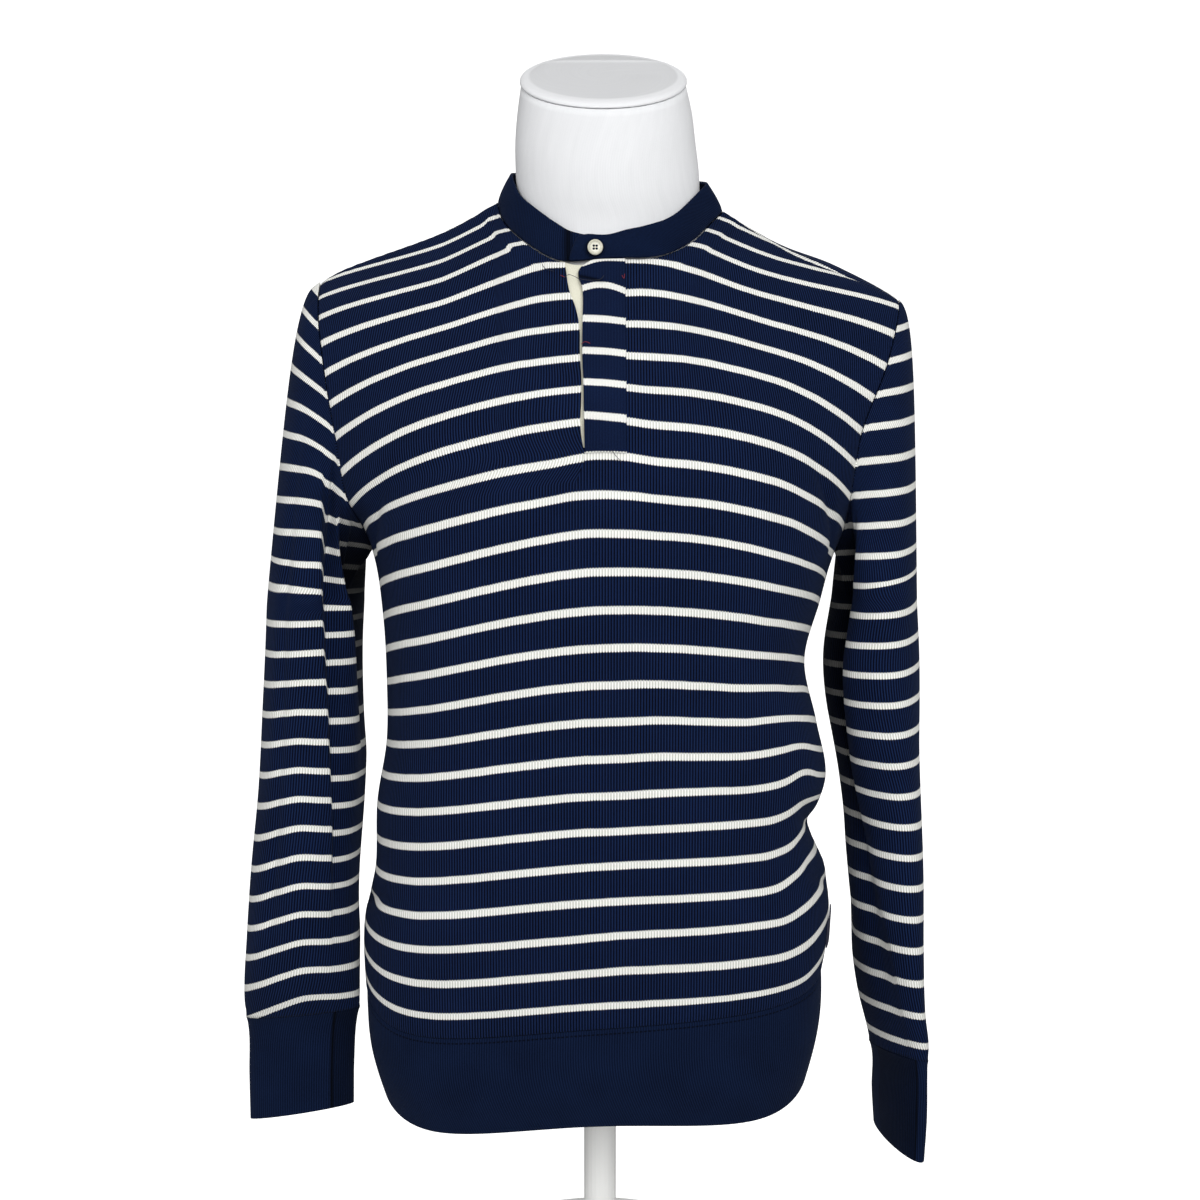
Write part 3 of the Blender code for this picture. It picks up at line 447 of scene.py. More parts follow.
# --------------------------------------------------------------------------------- stand
# A steel tube in a turned hub on a round spun plate, all in white powder coat. The solids
# already have these shapes, so they only get the paint.
def make_powder_coat():
    """Polyester powder coat, baked: half gloss, with a fine orange-peel skin of about 1.5 mm."""
    made, tree, output = start_material("white_powder_coat")
    place = node(tree, "ShaderNodeTexCoord", {}, {})
    peel = node(tree, "ShaderNodeTexNoise", {}, {"Vector": place.outputs["Object"],
                                                 "Scale": 650.0, "Detail": 2.0})
    wear = node(tree, "ShaderNodeTexNoise", {}, {"Vector": place.outputs["Object"],
                                                 "Scale": 12.0, "Detail": 5.0})
    tone = node(tree, "ShaderNodeMix", {"data_type": "RGBA"},
                {0: wear.outputs[0], 6: linear("#E9E9E7"), 7: linear("#F5F5F3")})
    gloss = node(tree, "ShaderNodeMapRange", {}, {
        "Value": wear.outputs[0], "To Min": 0.34, "To Max": 0.48})
    bump = node(tree, "ShaderNodeBump", {}, {"Height": peel.outputs[0], "Strength": 0.25,
                                             "Distance": 0.0001})
    paint = node(tree, "ShaderNodeBsdfPrincipled", {}, {
        "Base Color": tone.outputs[2], "Roughness": gloss, "IOR": 1.5, "Normal": bump})
    link_surface(tree, output, paint)
    return made


powder_coat = make_powder_coat()
for stand_part in ("stand_base", "stand_hub", "stand_pole"):
    stand_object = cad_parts[stand_part]
    stand_object.data.materials.clear()
    stand_object.data.materials.append(powder_coat)


# ----------------------------------------------------------------------------- body front
# The front is cut from a striped cotton rib jersey, knitted with narrow off-white stripes
# 25.4 mm apart on navy. A slit for the placket runs down from the neckline.
COURSE = 25.4                 # mm of cloth from one stripe to the next
PLACE_WIDTH = 250.0           # about how many mm of cloth a panel has on each side of its middle
WALL = 1.5
SEAM_GAP = 0.3                # the cloth stops this far short of each seam line
SQUARE = 0.04                 # how far a body section is squared off
SEAM_COURSE = -0.8
UNDERARM_COURSE = 14.3
LEFT_NECK = -0.295
RIGHT_NECK = 0.343
SLIT_LEFT = -0.062
SLIT_RIGHT = 0.02
SLIT_COURSE = 15.12           # the slit's lower end
SLIT_EASE = 1.2               # courses in which its edge comes out of the flat cloth

FRONT = table(
    "course left_x left_z left_mid_z centre_z right_mid_z right_x right_z centre_y edge_y turn",
    (-0.8, -185, 180, 160, 173, 182, 175, 192, -110, -12, 90),
    (0, -186, 197, 178, 192, 198, 179, 220, -112, -12, 90),
    (2, -185, 234, 229, 245, 250, 178, 267, -117, -12, 90),
    (4, -176, 273, 280, 298, 300, 165, 304, -118, -12, 90),
    (6, -174, 323, 332, 350, 354, 176, 343, -118, -12, 90),
    (8, -166, 370, 383, 404, 403, 168, 384, -120, -12, 90),
    (10, -165, 415, 434, 457, 448, 158, 432, -124, -12, 90),
    (12, -167, 465, 486, 510, 496, 169, 476, -127, -12, 90),
    (14, -174, 513, 538, 564, 542, 179, 511, -125, -13, 90),
    (15, -180, 536, 566, 592, 570, 186, 536, -121, -30, 76),
    (16, -187, 555, 593, 618, 600, 187, 560, -114, -52, 64),
    (18, -196, 605, 641, 664, 648, 194, 609, -92, -56, 55),
    (20, -205, 652, 682, 711, 687, 213, 657, -62, -45, 55),
    (22, -213, 695, 719, 753, 723, 226, 703, -36, -22, 55),
    (24, -216, 724, 748, 790, 752, 224, 724, -8, 6, 55),
    (26, -210, 743, 772, 826, 776, 216, 742, 14, 22, 55),
)
# Where the front ends: the shoulder seams, and the neckline between the two neck points.
FRONT_TOP = table(
    "place course",
    (-1.0, 24.0), (-0.9, 24.3), (-0.75, 24.55), (-0.5, 24.85), (LEFT_NECK, 25.1),
    (-0.275, 24.1), (-0.24, 23.15), (-0.19, 22.28), (-0.13, 21.56), (-0.08, 21.15),
    (0.0, 21.12), (0.06, 21.17), (0.13, 21.33), (0.2, 21.9), (0.25, 22.65), (0.3, 23.8),
    (RIGHT_NECK, 24.8), (0.42, 24.4), (0.55, 23.6), (0.7, 23.15), (1.0, 22.3),
)
# How far the slit's left edge is drawn aside, by course.
SLIT_PULL = table(
    "course pull",
    (14.0, -6.5), (15.1, -6.5), (15.4, -4.4), (15.8, -2.8), (16.5, -2.6), (17.2, -2.6),
    (18.0, -1.4), (19.0, -0.8), (19.5, 1.6), (20.0, 5.6), (20.7, 8.1), (21.1, 9.0), (22.0, 9.0),
)
# How many mm lower the stripes lie than on flat cloth, where the knit is drawn up by the collar
# seam, by the placket and by the soft folds at the right side. The columns are places.
DRIFT_PLACES = (-0.45, -0.25, -0.125, -0.06, 0.06, 0.125, 0.25, 0.375, 0.5, 0.6, 0.72, 0.95)
FRONT_DRIFT = table(
    "course left_end left left_slit slit_left slit_right right_slit r25 r37 r50 r60 r72 right_end",
    (0, 0, 0, 0, 0, 0, 0, 0, 0, 1, 2.5, 1, 0),
    (2, 0, 0, 0, 0, -1, -1, -1, -1, 0, -2, -4, 0),
    (3, 0, 0, 0, 0, 0, 0, 0, 0, 0, -4, -8, -4),
    (4, 0, 0, 0, 0, 0, 0, 0, 0, 0, -2, -9, -9),
    (5, 0, 0, 0, 0, 1, 1, 1, 1, 0, -5, -11, -8),
    (6, 0, 0, 0, 0, 1, 1, 2, 3, 0, -7, -4, 0),
    (7, 0, 0, 0, 0, 1, 1, 3, 4, 1, -2, 0, 0),
    (8, 0, 0, 0, 0, 1, 1, 3, 4, 2, 1, 0, 0),
    (10, 0, 0, 0, 0, 0, 0, 0, 0, 0, 0, 0, 0),
    (13, 1, 1, 0, -1, -1, -1, -2, -2, -1, 0, 0, 0),
    (15, 1, 2, 2, 0.5, 0.5, 2, 0, -1.5, -2, 0, 1, 0),
    (16, 1, 2, 2, 2, 2, 3.4, 2, 0.5, 0, 0, 0, 0),
    (18, 0, 0.5, 2, 2.3, 1.6, 1.6, 0, 0, 0, 0, 0, 0),
    (20, 0, 0, 1.4, 3, 1.4, -1, -2.2, -1.4, 0, 0, 0, 0),
    (21, 0, -2.3, -1.8, 0, -2.8, -5, -5, -2, -1, 0, 0, 0),
    (22, 0, -6, -5, 0, -3, -6, -8, -3, -1, 0, 0, 0),
    (24, 0, -5, -5, 0, -3, -6, -8, -5, -1, 0, 0, 0),
)
# Soft folds: their two ends by place and course, depth and half width in mm.
FRONT_FOLDS = table(
    "from_place from_course to_place to_course depth width",
    (0.97, 4.0, 0.6, 5.2, 5.0, 9.0),
    (0.95, 1.6, 0.7, 3.0, 3.0, 8.0),
    (0.86, 13.6, 0.7, 16.2, 3.0, 11.0),
    (-0.95, 2.6, -0.66, 3.4, 3.5, 8.0),
    (-0.86, 13.8, -0.72, 15.8, 2.5, 11.0),
)


def bow(angle):
    """How far out a body section has come at an angle from the middle of its panel."""
    return np.sin(angle) + SQUARE * np.sin(3 * angle)


def behind(angle):
    """How far back it has come there."""
    return 1 - (np.cos(angle) - SQUARE * np.cos(3 * angle)) / (1 - SQUARE)


def unit(vectors):
    return vectors / np.maximum(np.linalg.norm(vectors, axis=-1, keepdims=True), 1e-9)


def section_point(row, place):
    """Points of body sections. place runs from -1, the left edge, to 1, the right."""
    full = np.radians(np.minimum(row["turn"], 90.0))
    angle = np.abs(place) * full
    edge_x = np.where(place < 0, row["left_x"], row["right_x"])
    edge_y = np.where(place < 0, row["left_y"], row["right_y"])
    x = edge_x * bow(angle) / bow(full)
    y = row["centre_y"] + (edge_y - row["centre_y"]) * behind(angle) / behind(full)
    names = ("left_z", "left_mid_z", "centre_z", "right_mid_z", "right_z")
    heights = np.stack([np.broadcast_to(row[name], place.shape) for name in names], -1)
    z = smooth([-1.0, -0.5, 0.0, 0.5, 1.0], heights, place)
    return np.stack([x, y, z], -1)


def inward(points):
    """The level direction from body points to the middle of the body."""
    return unit(points * np.array([-1.0, -1.6, 0.0]))


def fold_depth(folds, place, course):
    """How far the soft folds of a panel draw each point in."""
    depth = np.zeros(np.shape(place))
    scale = np.array([PLACE_WIDTH, 25.0])     # from places and courses to about mm of cloth
    points = np.stack([place, course], -1) * scale
    for i in range(len(folds["depth"])):
        start = np.array([folds["from_place"][i], folds["from_course"][i]]) * scale
        way = np.array([folds["to_place"][i], folds["to_course"][i]]) * scale - start
        along = (points - start) @ way / (way @ way)
        off = np.linalg.norm(points - start - np.clip(along, 0, 1)[..., None] * way, axis=-1)
        fade = ease(-0.25, 0.2, along) * (1 - ease(0.5, 1.2, along))
        depth += folds["depth"][i] * fade * np.exp(-(off / folds["width"][i]) ** 2)
    return depth


def front_point(place, course):
    place, course = np.broadcast_arrays(np.asarray(place, float), np.asarray(course, float))
    row = read(FRONT, "course", course)
    row["left_y"] = row["right_y"] = row["edge_y"]
    points = section_point(row, place)
    return points + inward(points) * fold_depth(FRONT_FOLDS, place, course)[..., None]


def pulled_front(place, course):
    """The front with its slit drawn open, which shows the tape behind."""
    points = front_point(place, course)
    pull = read(SLIT_PULL, "course", course)["pull"] * ease(LEFT_NECK, SLIT_LEFT, place)
    pull = np.where((place <= SLIT_LEFT) & (course > SLIT_COURSE - SLIT_EASE), pull, 0.0)
    pull = pull * ease(SLIT_COURSE - SLIT_EASE, SLIT_COURSE, course)
    return points + pull[..., None] * np.array([-1.0, 0.12, 0.0])


def front_drift(place, course):
    """How many mm lower the stripes lie at each point of the front."""
    rows = read(FRONT_DRIFT, "course", course)
    return smooth(DRIFT_PLACES, np.stack(list(rows.values()), -1), place)


def front_top(place):
    """The neckline and the two shoulder seams, each a smooth line of its own."""
    place = np.asarray(place, float)
    at, course = FRONT_TOP["place"], FRONT_TOP["course"]
    left, right = at <= LEFT_NECK, at >= RIGHT_NECK
    neck = (at >= LEFT_NECK) & (at <= RIGHT_NECK)
    found = smooth(at[neck], course[neck], place)
    found = np.where(place < LEFT_NECK, smooth(at[left], course[left], place), found)
    return np.where(place > RIGHT_NECK, smooth(at[right], course[right], place), found)


def graded(start, end, count, marks=()):
    """Even steps from start to end, finer next to each end, and with the marks among them."""
    even = np.linspace(start, end, count)
    step = even[1] - even[0]
    fine = [start + 0.22 * step, start + 0.5 * step, end - 0.5 * step, end - 0.22 * step]
    return np.unique(np.concatenate([even, fine, marks]))


def normals(grid, tube=False, flip=False):
    """The outward direction at each point of a grid."""
    if tube:
        wide = np.concatenate([grid[:, -1:], grid, grid[:, :1]], axis=1)
        sideways = (wide[:, 2:] - wide[:, :-2])
    else:
        sideways = np.gradient(grid, axis=1)
    found = unit(np.cross(sideways, np.gradient(grid, axis=0)))
    return -found if flip else found


SEAM_SINK = 0.55              # mm by which a seam draws its cloth in, over a few mm
SEAM_SINK_WIDTH = 2.4
PUCKER_PITCH = 8.5            # two waves of pucker with their own lengths, fading out over 9 mm
PUCKER_SLOW_PITCH = 13.0
PUCKER_WIDTH = 9.0
BODY_PUCKER = 0.12


def finish_edges(grid, edges, depth=SEAM_SINK, pucker=0.0, tube=False, flip=False):
    """Draws sewn edges back from the seam and sinks them, as the seam behind pulls them in."""
    grid = grid.copy()
    out = normals(grid, tube, flip)
    sink = np.zeros(grid.shape[:2])
    for edge in edges:
        axis = 0 if edge in ("bottom", "top") else 1
        away = lengths(grid, axis)
        if edge in ("top", "right"):
            away = np.take(away, [-1], axis=axis) - away
        run = lengths(grid, 1 - axis)
        wave = (np.sin(run * 2 * math.pi / PUCKER_PITCH)
                + 0.6 * np.sin(run * 2 * math.pi / PUCKER_SLOW_PITCH + 1.3))
        sink += depth * np.exp(-(away / SEAM_SINK_WIDTH) ** 2)
        sink += pucker * wave * np.exp(-(away / PUCKER_WIDTH) ** 2)
    grid -= out * sink[..., None]
    for edge in edges:
        first = {"bottom": (0, slice(None)), "top": (-1, slice(None)),
                 "left": (slice(None), 0), "right": (slice(None), -1)}[edge]
        second = {"bottom": (1, slice(None)), "top": (-2, slice(None)),
                  "left": (slice(None), 1), "right": (slice(None), -2)}[edge]
        grid[first] = grid[first] + unit(grid[second] - grid[first]) * SEAM_GAP
    return grid


def thicken(piece, wall):
    """The cloth's own thickness, laid on its inner side."""
    shell = piece.modifiers.new("cloth_thickness", "SOLIDIFY")
    shell.thickness = wall * MM
    shell.offset = -1.0
    return piece


# The seam allowance under the collar seam lifts the jersey into a low roll. Beside the neck it
# also draws the stripes up into small hooks, which are weaker on the right.
NECK_PLACE_WIDTH = 270.0      # PLACE_WIDTH at the height of the neck
ROLL_WIDTH = 10.0
ROLL_HEIGHT = 0.6
ROLL_LIFT = 3.5
RIGHT_ROLL = 0.3
FRONT_PLACES = graded(-1.0, 1.0, 161, (LEFT_NECK, SLIT_LEFT, -0.055, SLIT_RIGHT, RIGHT_NECK, 0.0))
SHARES = graded(0.0, 1.0, 76, ())
LOWER_COURSES = graded(SEAM_COURSE, UNDERARM_COURSE, 122, ())[:-1]


def from_neck_seam(place, course):
    """How far each point of the front lies from the collar seam, in mm of cloth."""
    seam = np.linspace(LEFT_NECK, RIGHT_NECK, 70)
    across = (place[..., None] - seam) * NECK_PLACE_WIDTH
    up = (course[..., None] - front_top(seam)) * COURSE
    return np.hypot(across, up).min(axis=-1)


def make_front():
    place = np.broadcast_to(FRONT_PLACES, (len(LOWER_COURSES) + len(SHARES), len(FRONT_PLACES)))
    lower = np.repeat(LOWER_COURSES[:, None], len(FRONT_PLACES), 1)
    upper = UNDERARM_COURSE + SHARES[:, None] * (front_top(FRONT_PLACES) - UNDERARM_COURSE)
    course = np.concatenate([lower, upper])
    grid = pulled_front(place, course)
    across = lengths(grid, 1)
    across = across - across[:, [np.argmin(np.abs(FRONT_PLACES))]]
    slit = (FRONT_PLACES >= SLIT_LEFT) & (FRONT_PLACES < SLIT_RIGHT)
    away = from_neck_seam(place, course)
    held = (1 - ease(ROLL_WIDTH - 1.0, ROLL_WIDTH + 5.0, away)) * np.clip(away / ROLL_WIDTH, 0, 1)
    beside_neck = (ease(0.48, 0.68, place / LEFT_NECK)
                   + RIGHT_ROLL * ease(0.5, 0.75, place / RIGHT_NECK))
    drift = front_drift(place, course) - ROLL_LIFT * held * beside_neck
    grid = grid + normals(grid) * (ROLL_HEIGHT * held)[..., None]
    grid = finish_edges(grid, ("bottom", "top", "left", "right"), pucker=BODY_PUCKER)
    made = knit("front_panel", grid, across, course * COURSE + drift,
                skip=lambda j, i: slit[i] & (course[j, i] > SLIT_COURSE))
    return thicken(made, WALL)


def make_striped_jersey(name, ribbing):
    """Combed cotton rib jersey, yarn-dyed, knitted and washed: matt, with a soft short nap.

    Upright wales cut the edges of the off-white stripes into small teeth. ribbing says how
    strongly the wales show."""
    made, tree, output = start_material(name)
    place = node(tree, "ShaderNodeUVMap", {"uv_map": "cloth"}, {})
    parts = node(tree, "ShaderNodeSeparateXYZ", {}, {0: place})
    wale_pitch = 0.0021           # drawn a quarter coarser than the real 1.7 mm, to show
    turn = node(tree, "ShaderNodeMath", {"operation": "MULTIPLY"},
                {0: parts.outputs[0], 1: 2 * math.pi / wale_pitch})
    wale = node(tree, "ShaderNodeMath", {"operation": "SINE"}, {0: turn})
    repeats = node(tree, "ShaderNodeMath", {"operation": "DIVIDE"},
                   {0: parts.outputs[1], 1: COURSE * MM})
    wander = node(tree, "ShaderNodeTexNoise", {}, {"Vector": place, "Scale": 60.0, "Detail": 2.0})
    uneven = node(tree, "ShaderNodeMath", {"operation": "MULTIPLY_ADD"},
                  {0: wander.outputs[0], 1: 0.03, 2: repeats})
    tooth = node(tree, "ShaderNodeMath", {"operation": "MULTIPLY_ADD"},
                 {0: wale, 1: 0.014, 2: uneven})
    off_stripe = node(tree, "ShaderNodeMath", {"operation": "PINGPONG"}, {0: tooth, 1: 0.5})
    stripe = node(tree, "ShaderNodeMapRange", {"interpolation_type": "SMOOTHSTEP"}, {
        "Value": off_stripe, "From Min": 0.113, "From Max": 0.101, "To Min": 0.0, "To Max": 1.0})
    fibre = node(tree, "ShaderNodeTexNoise", {}, {"Vector": place, "Scale": 1500.0, "Detail": 3.0})
    patch = node(tree, "ShaderNodeTexNoise", {}, {"Vector": place, "Scale": 22.0, "Detail": 3.0})
    nap = node(tree, "ShaderNodeMath", {"operation": "MULTIPLY_ADD"},
               {0: wale, 1: ribbing, 2: fibre.outputs[0]})
    tone = node(tree, "ShaderNodeMath", {"operation": "MULTIPLY_ADD"},
                {0: patch.outputs[0], 1: 0.35, 2: nap})
    depth = node(tree, "ShaderNodeMapRange", {}, {
        "Value": tone, "From Min": 0.2, "From Max": 1.15, "To Min": 0.0, "To Max": 1.0})
    navy = node(tree, "ShaderNodeMix", {"data_type": "RGBA"},
                {0: depth, 6: linear("#01030A"), 7: linear("#15254A")})
    white = node(tree, "ShaderNodeMix", {"data_type": "RGBA"},
                 {0: depth, 6: linear("#D0D0C8"), 7: linear("#FFFFFC")})
    colour = node(tree, "ShaderNodeMix", {"data_type": "RGBA"},
                  {0: stripe, 6: navy.outputs[2], 7: white.outputs[2]})
    relief = node(tree, "ShaderNodeMath", {"operation": "MULTIPLY_ADD"},
                  {0: wale, 1: ribbing, 2: fibre.outputs[0]})
    bump = node(tree, "ShaderNodeBump", {}, {"Height": relief, "Strength": 0.6,
                                             "Distance": 0.0004})
    jersey = node(tree, "ShaderNodeBsdfPrincipled", {}, {
        "Base Color": shaded(tree, colour.outputs[2]).outputs[2], "Roughness": 0.92,
        "Specular IOR Level": 0.06, "Sheen Weight": 0.04, "Sheen Roughness": 0.45,
        "Sheen Tint": linear("#9FB2DC"), "Normal": bump,
    })
    link_surface(tree, output, jersey)
    return made


striped_jersey = make_striped_jersey("striped_rib_jersey", 0.55)
front = make_front()
front.data.materials.append(striped_jersey)
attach(front, "root")
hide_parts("front")


# ------------------------------------------------------------------------------ body back
# The back is one piece of the same striped jersey, without a slit. It comes over the top of
# the shoulders and is sewn to the front a little forward of the ridge.
BACK_YOKE_COURSE = 22.3
YOKE_START = 0.75             # the share of the armhole below the yoke
YOKE_EDGE = 0.72              # from this place outwards the yoke bends to meet the armhole
BACK_HELD = 0.97              # from this place outwards the side seam lets no fold through
BACK = table(
    "course left_mid_z centre_z right_mid_z centre_y turn",
    (-0.8, 172, 170, 178, 97, 90),
    (0, 189, 189, 198, 99, 90),
    (2, 233, 238, 246, 101, 90),
    (4, 280, 288, 294, 95, 90),
    (6, 330, 338, 342, 87, 90),
    (8, 380, 389, 389, 80, 90),
    (10, 429, 438, 436, 76, 90),
    (12, 478, 488, 484, 80, 90),
    (14, 528, 538, 532, 89, 90),
    (16, 577, 588, 580, 99, 72),
    (18, 628, 638, 630, 105, 62),
    (20, 678, 688, 680, 104, 60),
    (22, 720, 732, 722, 94, 60),
    (24, 755, 770, 757, 78, 60),
)
BACK_ARMHOLE = table(
    "share left_x left_y left_z right_x right_y right_z",
    (0.08, -181, 8, 536, 187, 6, 534),
    (0.2, -187, 30, 562, 194, 29, 560),
    (0.45, -198, 46, 621, 206, 47, 621),
    (0.7, -206, 44, 671, 218, 46, 668),
    (0.85, -212, 33, 702, 226, 31, 696),
    (0.95, -217, 14, 719, 230, 4, 710),
)
# How the back comes over to the shoulder seam or neckline: the pull of the curve's middle.
YOKE = table(
    "place back lift",
    (-1.0, 26, -7), (-0.65, 26, 3), (LEFT_NECK, 30, -2), (0.0, 12, -22),
    (RIGHT_NECK, 34, 4), (0.65, 34, 24), (1.0, 38, 6),
)
BACK_NECK_DEPTH = 48
BACK_NECK_LIFT = 10
BACK_FOLDS = table(
    "from_place from_course to_place to_course depth width",
    (0.9, 5.0, 0.35, 6.6, 5.0, 11.0),
    (-0.9, 4.2, -0.3, 6.0, 5.0, 11.0),
    (0.85, 8.4, 0.2, 9.6, 4.0, 11.0),
    (-0.85, 13.0, -0.6, 17.5, 4.0, 13.0),
    (0.85, 13.0, 0.6, 17.5, 4.0, 13.0),
)
BACK_PLACES = graded(-1.0, 1.0, 141, (LEFT_NECK, RIGHT_NECK))
YOKE_SHARES = graded(0.0, 1.0, 26, ())[1:]


def bezier(start, middle, end, t, pull=1.0):
    """A curve from start to end that is drawn towards the middle, harder with more pull."""
    bend = 2 * t * (1 - t) * pull
    near = (1 - t) ** 2
    far = t * t
    return (near * start + bend * middle + far * end) / (near + bend + far)


def armhole_back(side, share):
    """The back edge of an armhole, from the underarm at 0 to the shoulder tip at 1."""
    name = "left" if side < 0 else "right"
    ends = [front_point(side, UNDERARM_COURSE), front_point(side, front_top(side))]
    between = np.array([BACK_ARMHOLE[name + axis] for axis in ("_x", "_y", "_z")])
    points = np.column_stack([ends[0], between, ends[1]])
    knots = np.concatenate([[0.0], BACK_ARMHOLE["share"], [1.0]])
    return np.stack([smooth(knots, values, share) for values in points], -1)


def back_rows(courses):
    """The back below the yoke, one row of points for each course."""
    row = {name: value[:, None] for name, value in read(BACK, "course", courses).items()}
    rise = (courses - UNDERARM_COURSE) / (BACK_YOKE_COURSE - UNDERARM_COURSE)
    for side, name in ((-1.0, "left"), (1.0, "right")):
        below = front_point(np.full(len(courses), side), courses)
        above = armhole_back(side, np.clip(rise, 0, 1) * YOKE_START)
        edge = np.where((courses <= UNDERARM_COURSE)[:, None], below, above)
        for axis, values in zip("xyz", edge.T):
            row[name + "_" + axis] = values[:, None]
    place = np.broadcast_to(BACK_PLACES, (len(courses), len(BACK_PLACES)))
    points = section_point(row, place)
    depth = fold_depth(BACK_FOLDS, place, np.broadcast_to(courses[:, None], place.shape))
    depth = depth * (1 - ease(BACK_HELD, 1.0, np.abs(place)))
    return points + inward(points) * depth[..., None]


def back_neck(place):
    """The back of the neckline, between the two neck points."""
    left = front_point(LEFT_NECK, front_top(LEFT_NECK))
    right = front_point(RIGHT_NECK, front_top(RIGHT_NECK))
    turn = np.pi * (place - LEFT_NECK) / (RIGHT_NECK - LEFT_NECK)
    points = left + (right - left) * ((1 - np.cos(turn)) / 2)[..., None]
    return points + np.array([0, BACK_NECK_DEPTH, BACK_NECK_LIFT]) * np.sin(turn)[..., None]


def back_top(place):
    """Where the back ends: on the shoulder seams, or on the back of the neckline."""
    seam = front_point(place, front_top(place))
    outside = (place <= LEFT_NECK) | (place >= RIGHT_NECK)
    return np.where(outside[..., None], seam, back_neck(place))


def make_back():
    courses = np.concatenate([LOWER_COURSES,
                              np.linspace(UNDERARM_COURSE, BACK_YOKE_COURSE, 60)])
    lower = back_rows(courses)
    end = back_top(BACK_PLACES)
    pull = read(YOKE, "place", BACK_PLACES)
    middle = end + np.stack([0 * pull["back"], pull["back"], pull["lift"]], -1)
    share = YOKE_SHARES[:, None, None]
    yoke = bezier(lower[-1], middle, end, share)
    for side, column in ((-1.0, 0), (1.0, -1)):
        edge = armhole_back(side, YOKE_START + YOKE_SHARES * (1 - YOKE_START))
        weight = ease(YOKE_EDGE, 1.0, side * BACK_PLACES)[None, :, None]
        yoke = yoke + weight * (edge[:, None] - yoke[:, [column]])
    grid = np.concatenate([lower, yoke])
    along = np.repeat((courses * COURSE)[:, None], len(BACK_PLACES), 1)
    over = lengths(grid[len(courses) - 1:], 0)[1:] + BACK_YOKE_COURSE * COURSE
    across = lengths(grid, 1)
    across = across - across[:, [len(BACK_PLACES) // 2]]
    grid = finish_edges(grid, ("bottom", "top", "left", "right"), pucker=BODY_PUCKER, flip=True)
    made = knit("back_panel", grid, across, np.concatenate([along, over]), flip=True)
    return thicken(made, WALL)


back = make_back()
back.data.materials.append(striped_jersey)
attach(back, "root")
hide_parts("back")


# -------------------------------------------------------------------------------- sleeves
# Two set-in sleeves of the striped jersey, each one piece closed by a seam under the arm.
# They hang empty: pressed flat once down the front and soft with creases below the elbow.
LEFT_SLEEVE = table(
    "z x y across deep turn drop rise",
    (156, -233.5, -30, 44, 22, 0, 8, 18),
    (165, -234, -30, 45, 27, 0, 7, 15),
    (180, -234, -29, 45, 34, 0, 5, 10),
    (215, -232.5, -27, 44, 42, 0, 2, 4),
    (271, -229.5, -22, 43, 48, 0, 0, 0),
    (335, -224.5, -17, 41.5, 52, 0, 0, 0),
    (400, -222, -13, 40, 54, 0, 0, 0),
    (450, -221, -10, 38, 56, 0, 0, 0),
    (480, -220, -9, 37.5, 57, 0, 0, 0),
)
RIGHT_SLEEVE = table(
    "z x y across deep turn drop rise",
    (114, 240.5, -4, 12.5, 41, 18, 8, 16),
    (122, 240, -4, 13.5, 43, 18, 8, 16),
    (152, 234, -5, 15.5, 47, 18, 8, 13),
    (205, 228.5, -6, 20.5, 49, 17, 6, 6),
    (271, 224.5, -7, 24.5, 51, 15, 4, 2),
    (335, 220, -8, 27.5, 52, 11, 2, 0),
    (368, 216, -8, 31.5, 53, 8, 1, 0),
    (400, 213, -8, 35, 54, 6, 0, 0),
    (431, 211.5, -8, 36.5, 54, 3, 0, 0),
    (480, 213.5, -6, 32, 56, 0, 0, 0),
)
# Creases: their two ends, as a height and a place round the sleeve in degrees from the
# underarm towards the front, their depth, and their width on either side.
LEFT_CREASES = table(
    "top_z top_at end_z end_at depth inner outer",
    (560, 112, 190, 116, 1.6, 5, 7),
    (470, 12, 220, 8, 4, 22, 22),
    (330, 118, 170, 104, 1.8, 12, 16),
    (430, 215, 250, 250, 6, 24, 24),
    (360, 300, 220, 330, 5, 22, 22),
)
RIGHT_CREASES = table(
    "top_z top_at end_z end_at depth inner outer",
    (500, 38, 330, 20, 4, 20, 14),
    (330, 30, 130, 55, 4, 20, 12),
    (450, 215, 260, 240, 6, 24, 24),
    (330, 310, 190, 335, 5, 22, 22),
)
# Tucks: the cloth beyond this edge, on the sleeve's inner side, steps back behind the cloth on
# this side. By height: where the edge is, in degrees, how deep it steps back, over how many
# degrees it comes forward again, and how much lower the stripes beyond it lie.
LEFT_TUCK = table(
    "z at depth reach lower",
    (190, 52, 0, 40, 0), (250, 53, 2, 45, 0), (300, 55, 6, 45, 5), (350, 60, 9, 44, 8),
    (420, 65, 11, 42, 9), (480, 69, 13, 42, 12), (520, 73, 13, 40, 13), (550, 76, 8, 36, 10),
    (575, 80, 1.5, 34, 3), (600, 84, 0, 34, 0),
)
LEFT_UNDER_TUCK = table(
    "z at depth reach lower",
    (360, 6, 0, 60, 0), (400, 12, 6, 60, -4), (440, 20, 11, 60, -9), (480, 30, 14, 60, -10),
    (515, 42, 12, 60, -9), (545, 52, 2, 60, -2), (560, 56, 0, 60, 0),
)
RIGHT_TUCK = table(
    "z at depth reach lower",
    (120, 70, 1.2, 60, 1), (175, 68, 2, 60, 2), (220, 61, 3, 60, 2), (265, 44, 4, 60, 2),
    (310, 32, 6, 60, 2), (330, 29, 8, 60, 1), (360, 27, 10, 60, 0), (400, 34, 12, 60, -2),
    (440, 38, 14, 60, -3), (490, 42, 14, 60, -3), (525, 50, 8, 60, 0), (550, 56, 0, 60, 0),
)
TUCK_STEP = 5.0               # degrees in which the cloth steps back
SLEEVE_PUCKER = 0.15
SLEEVE_AROUND = 200
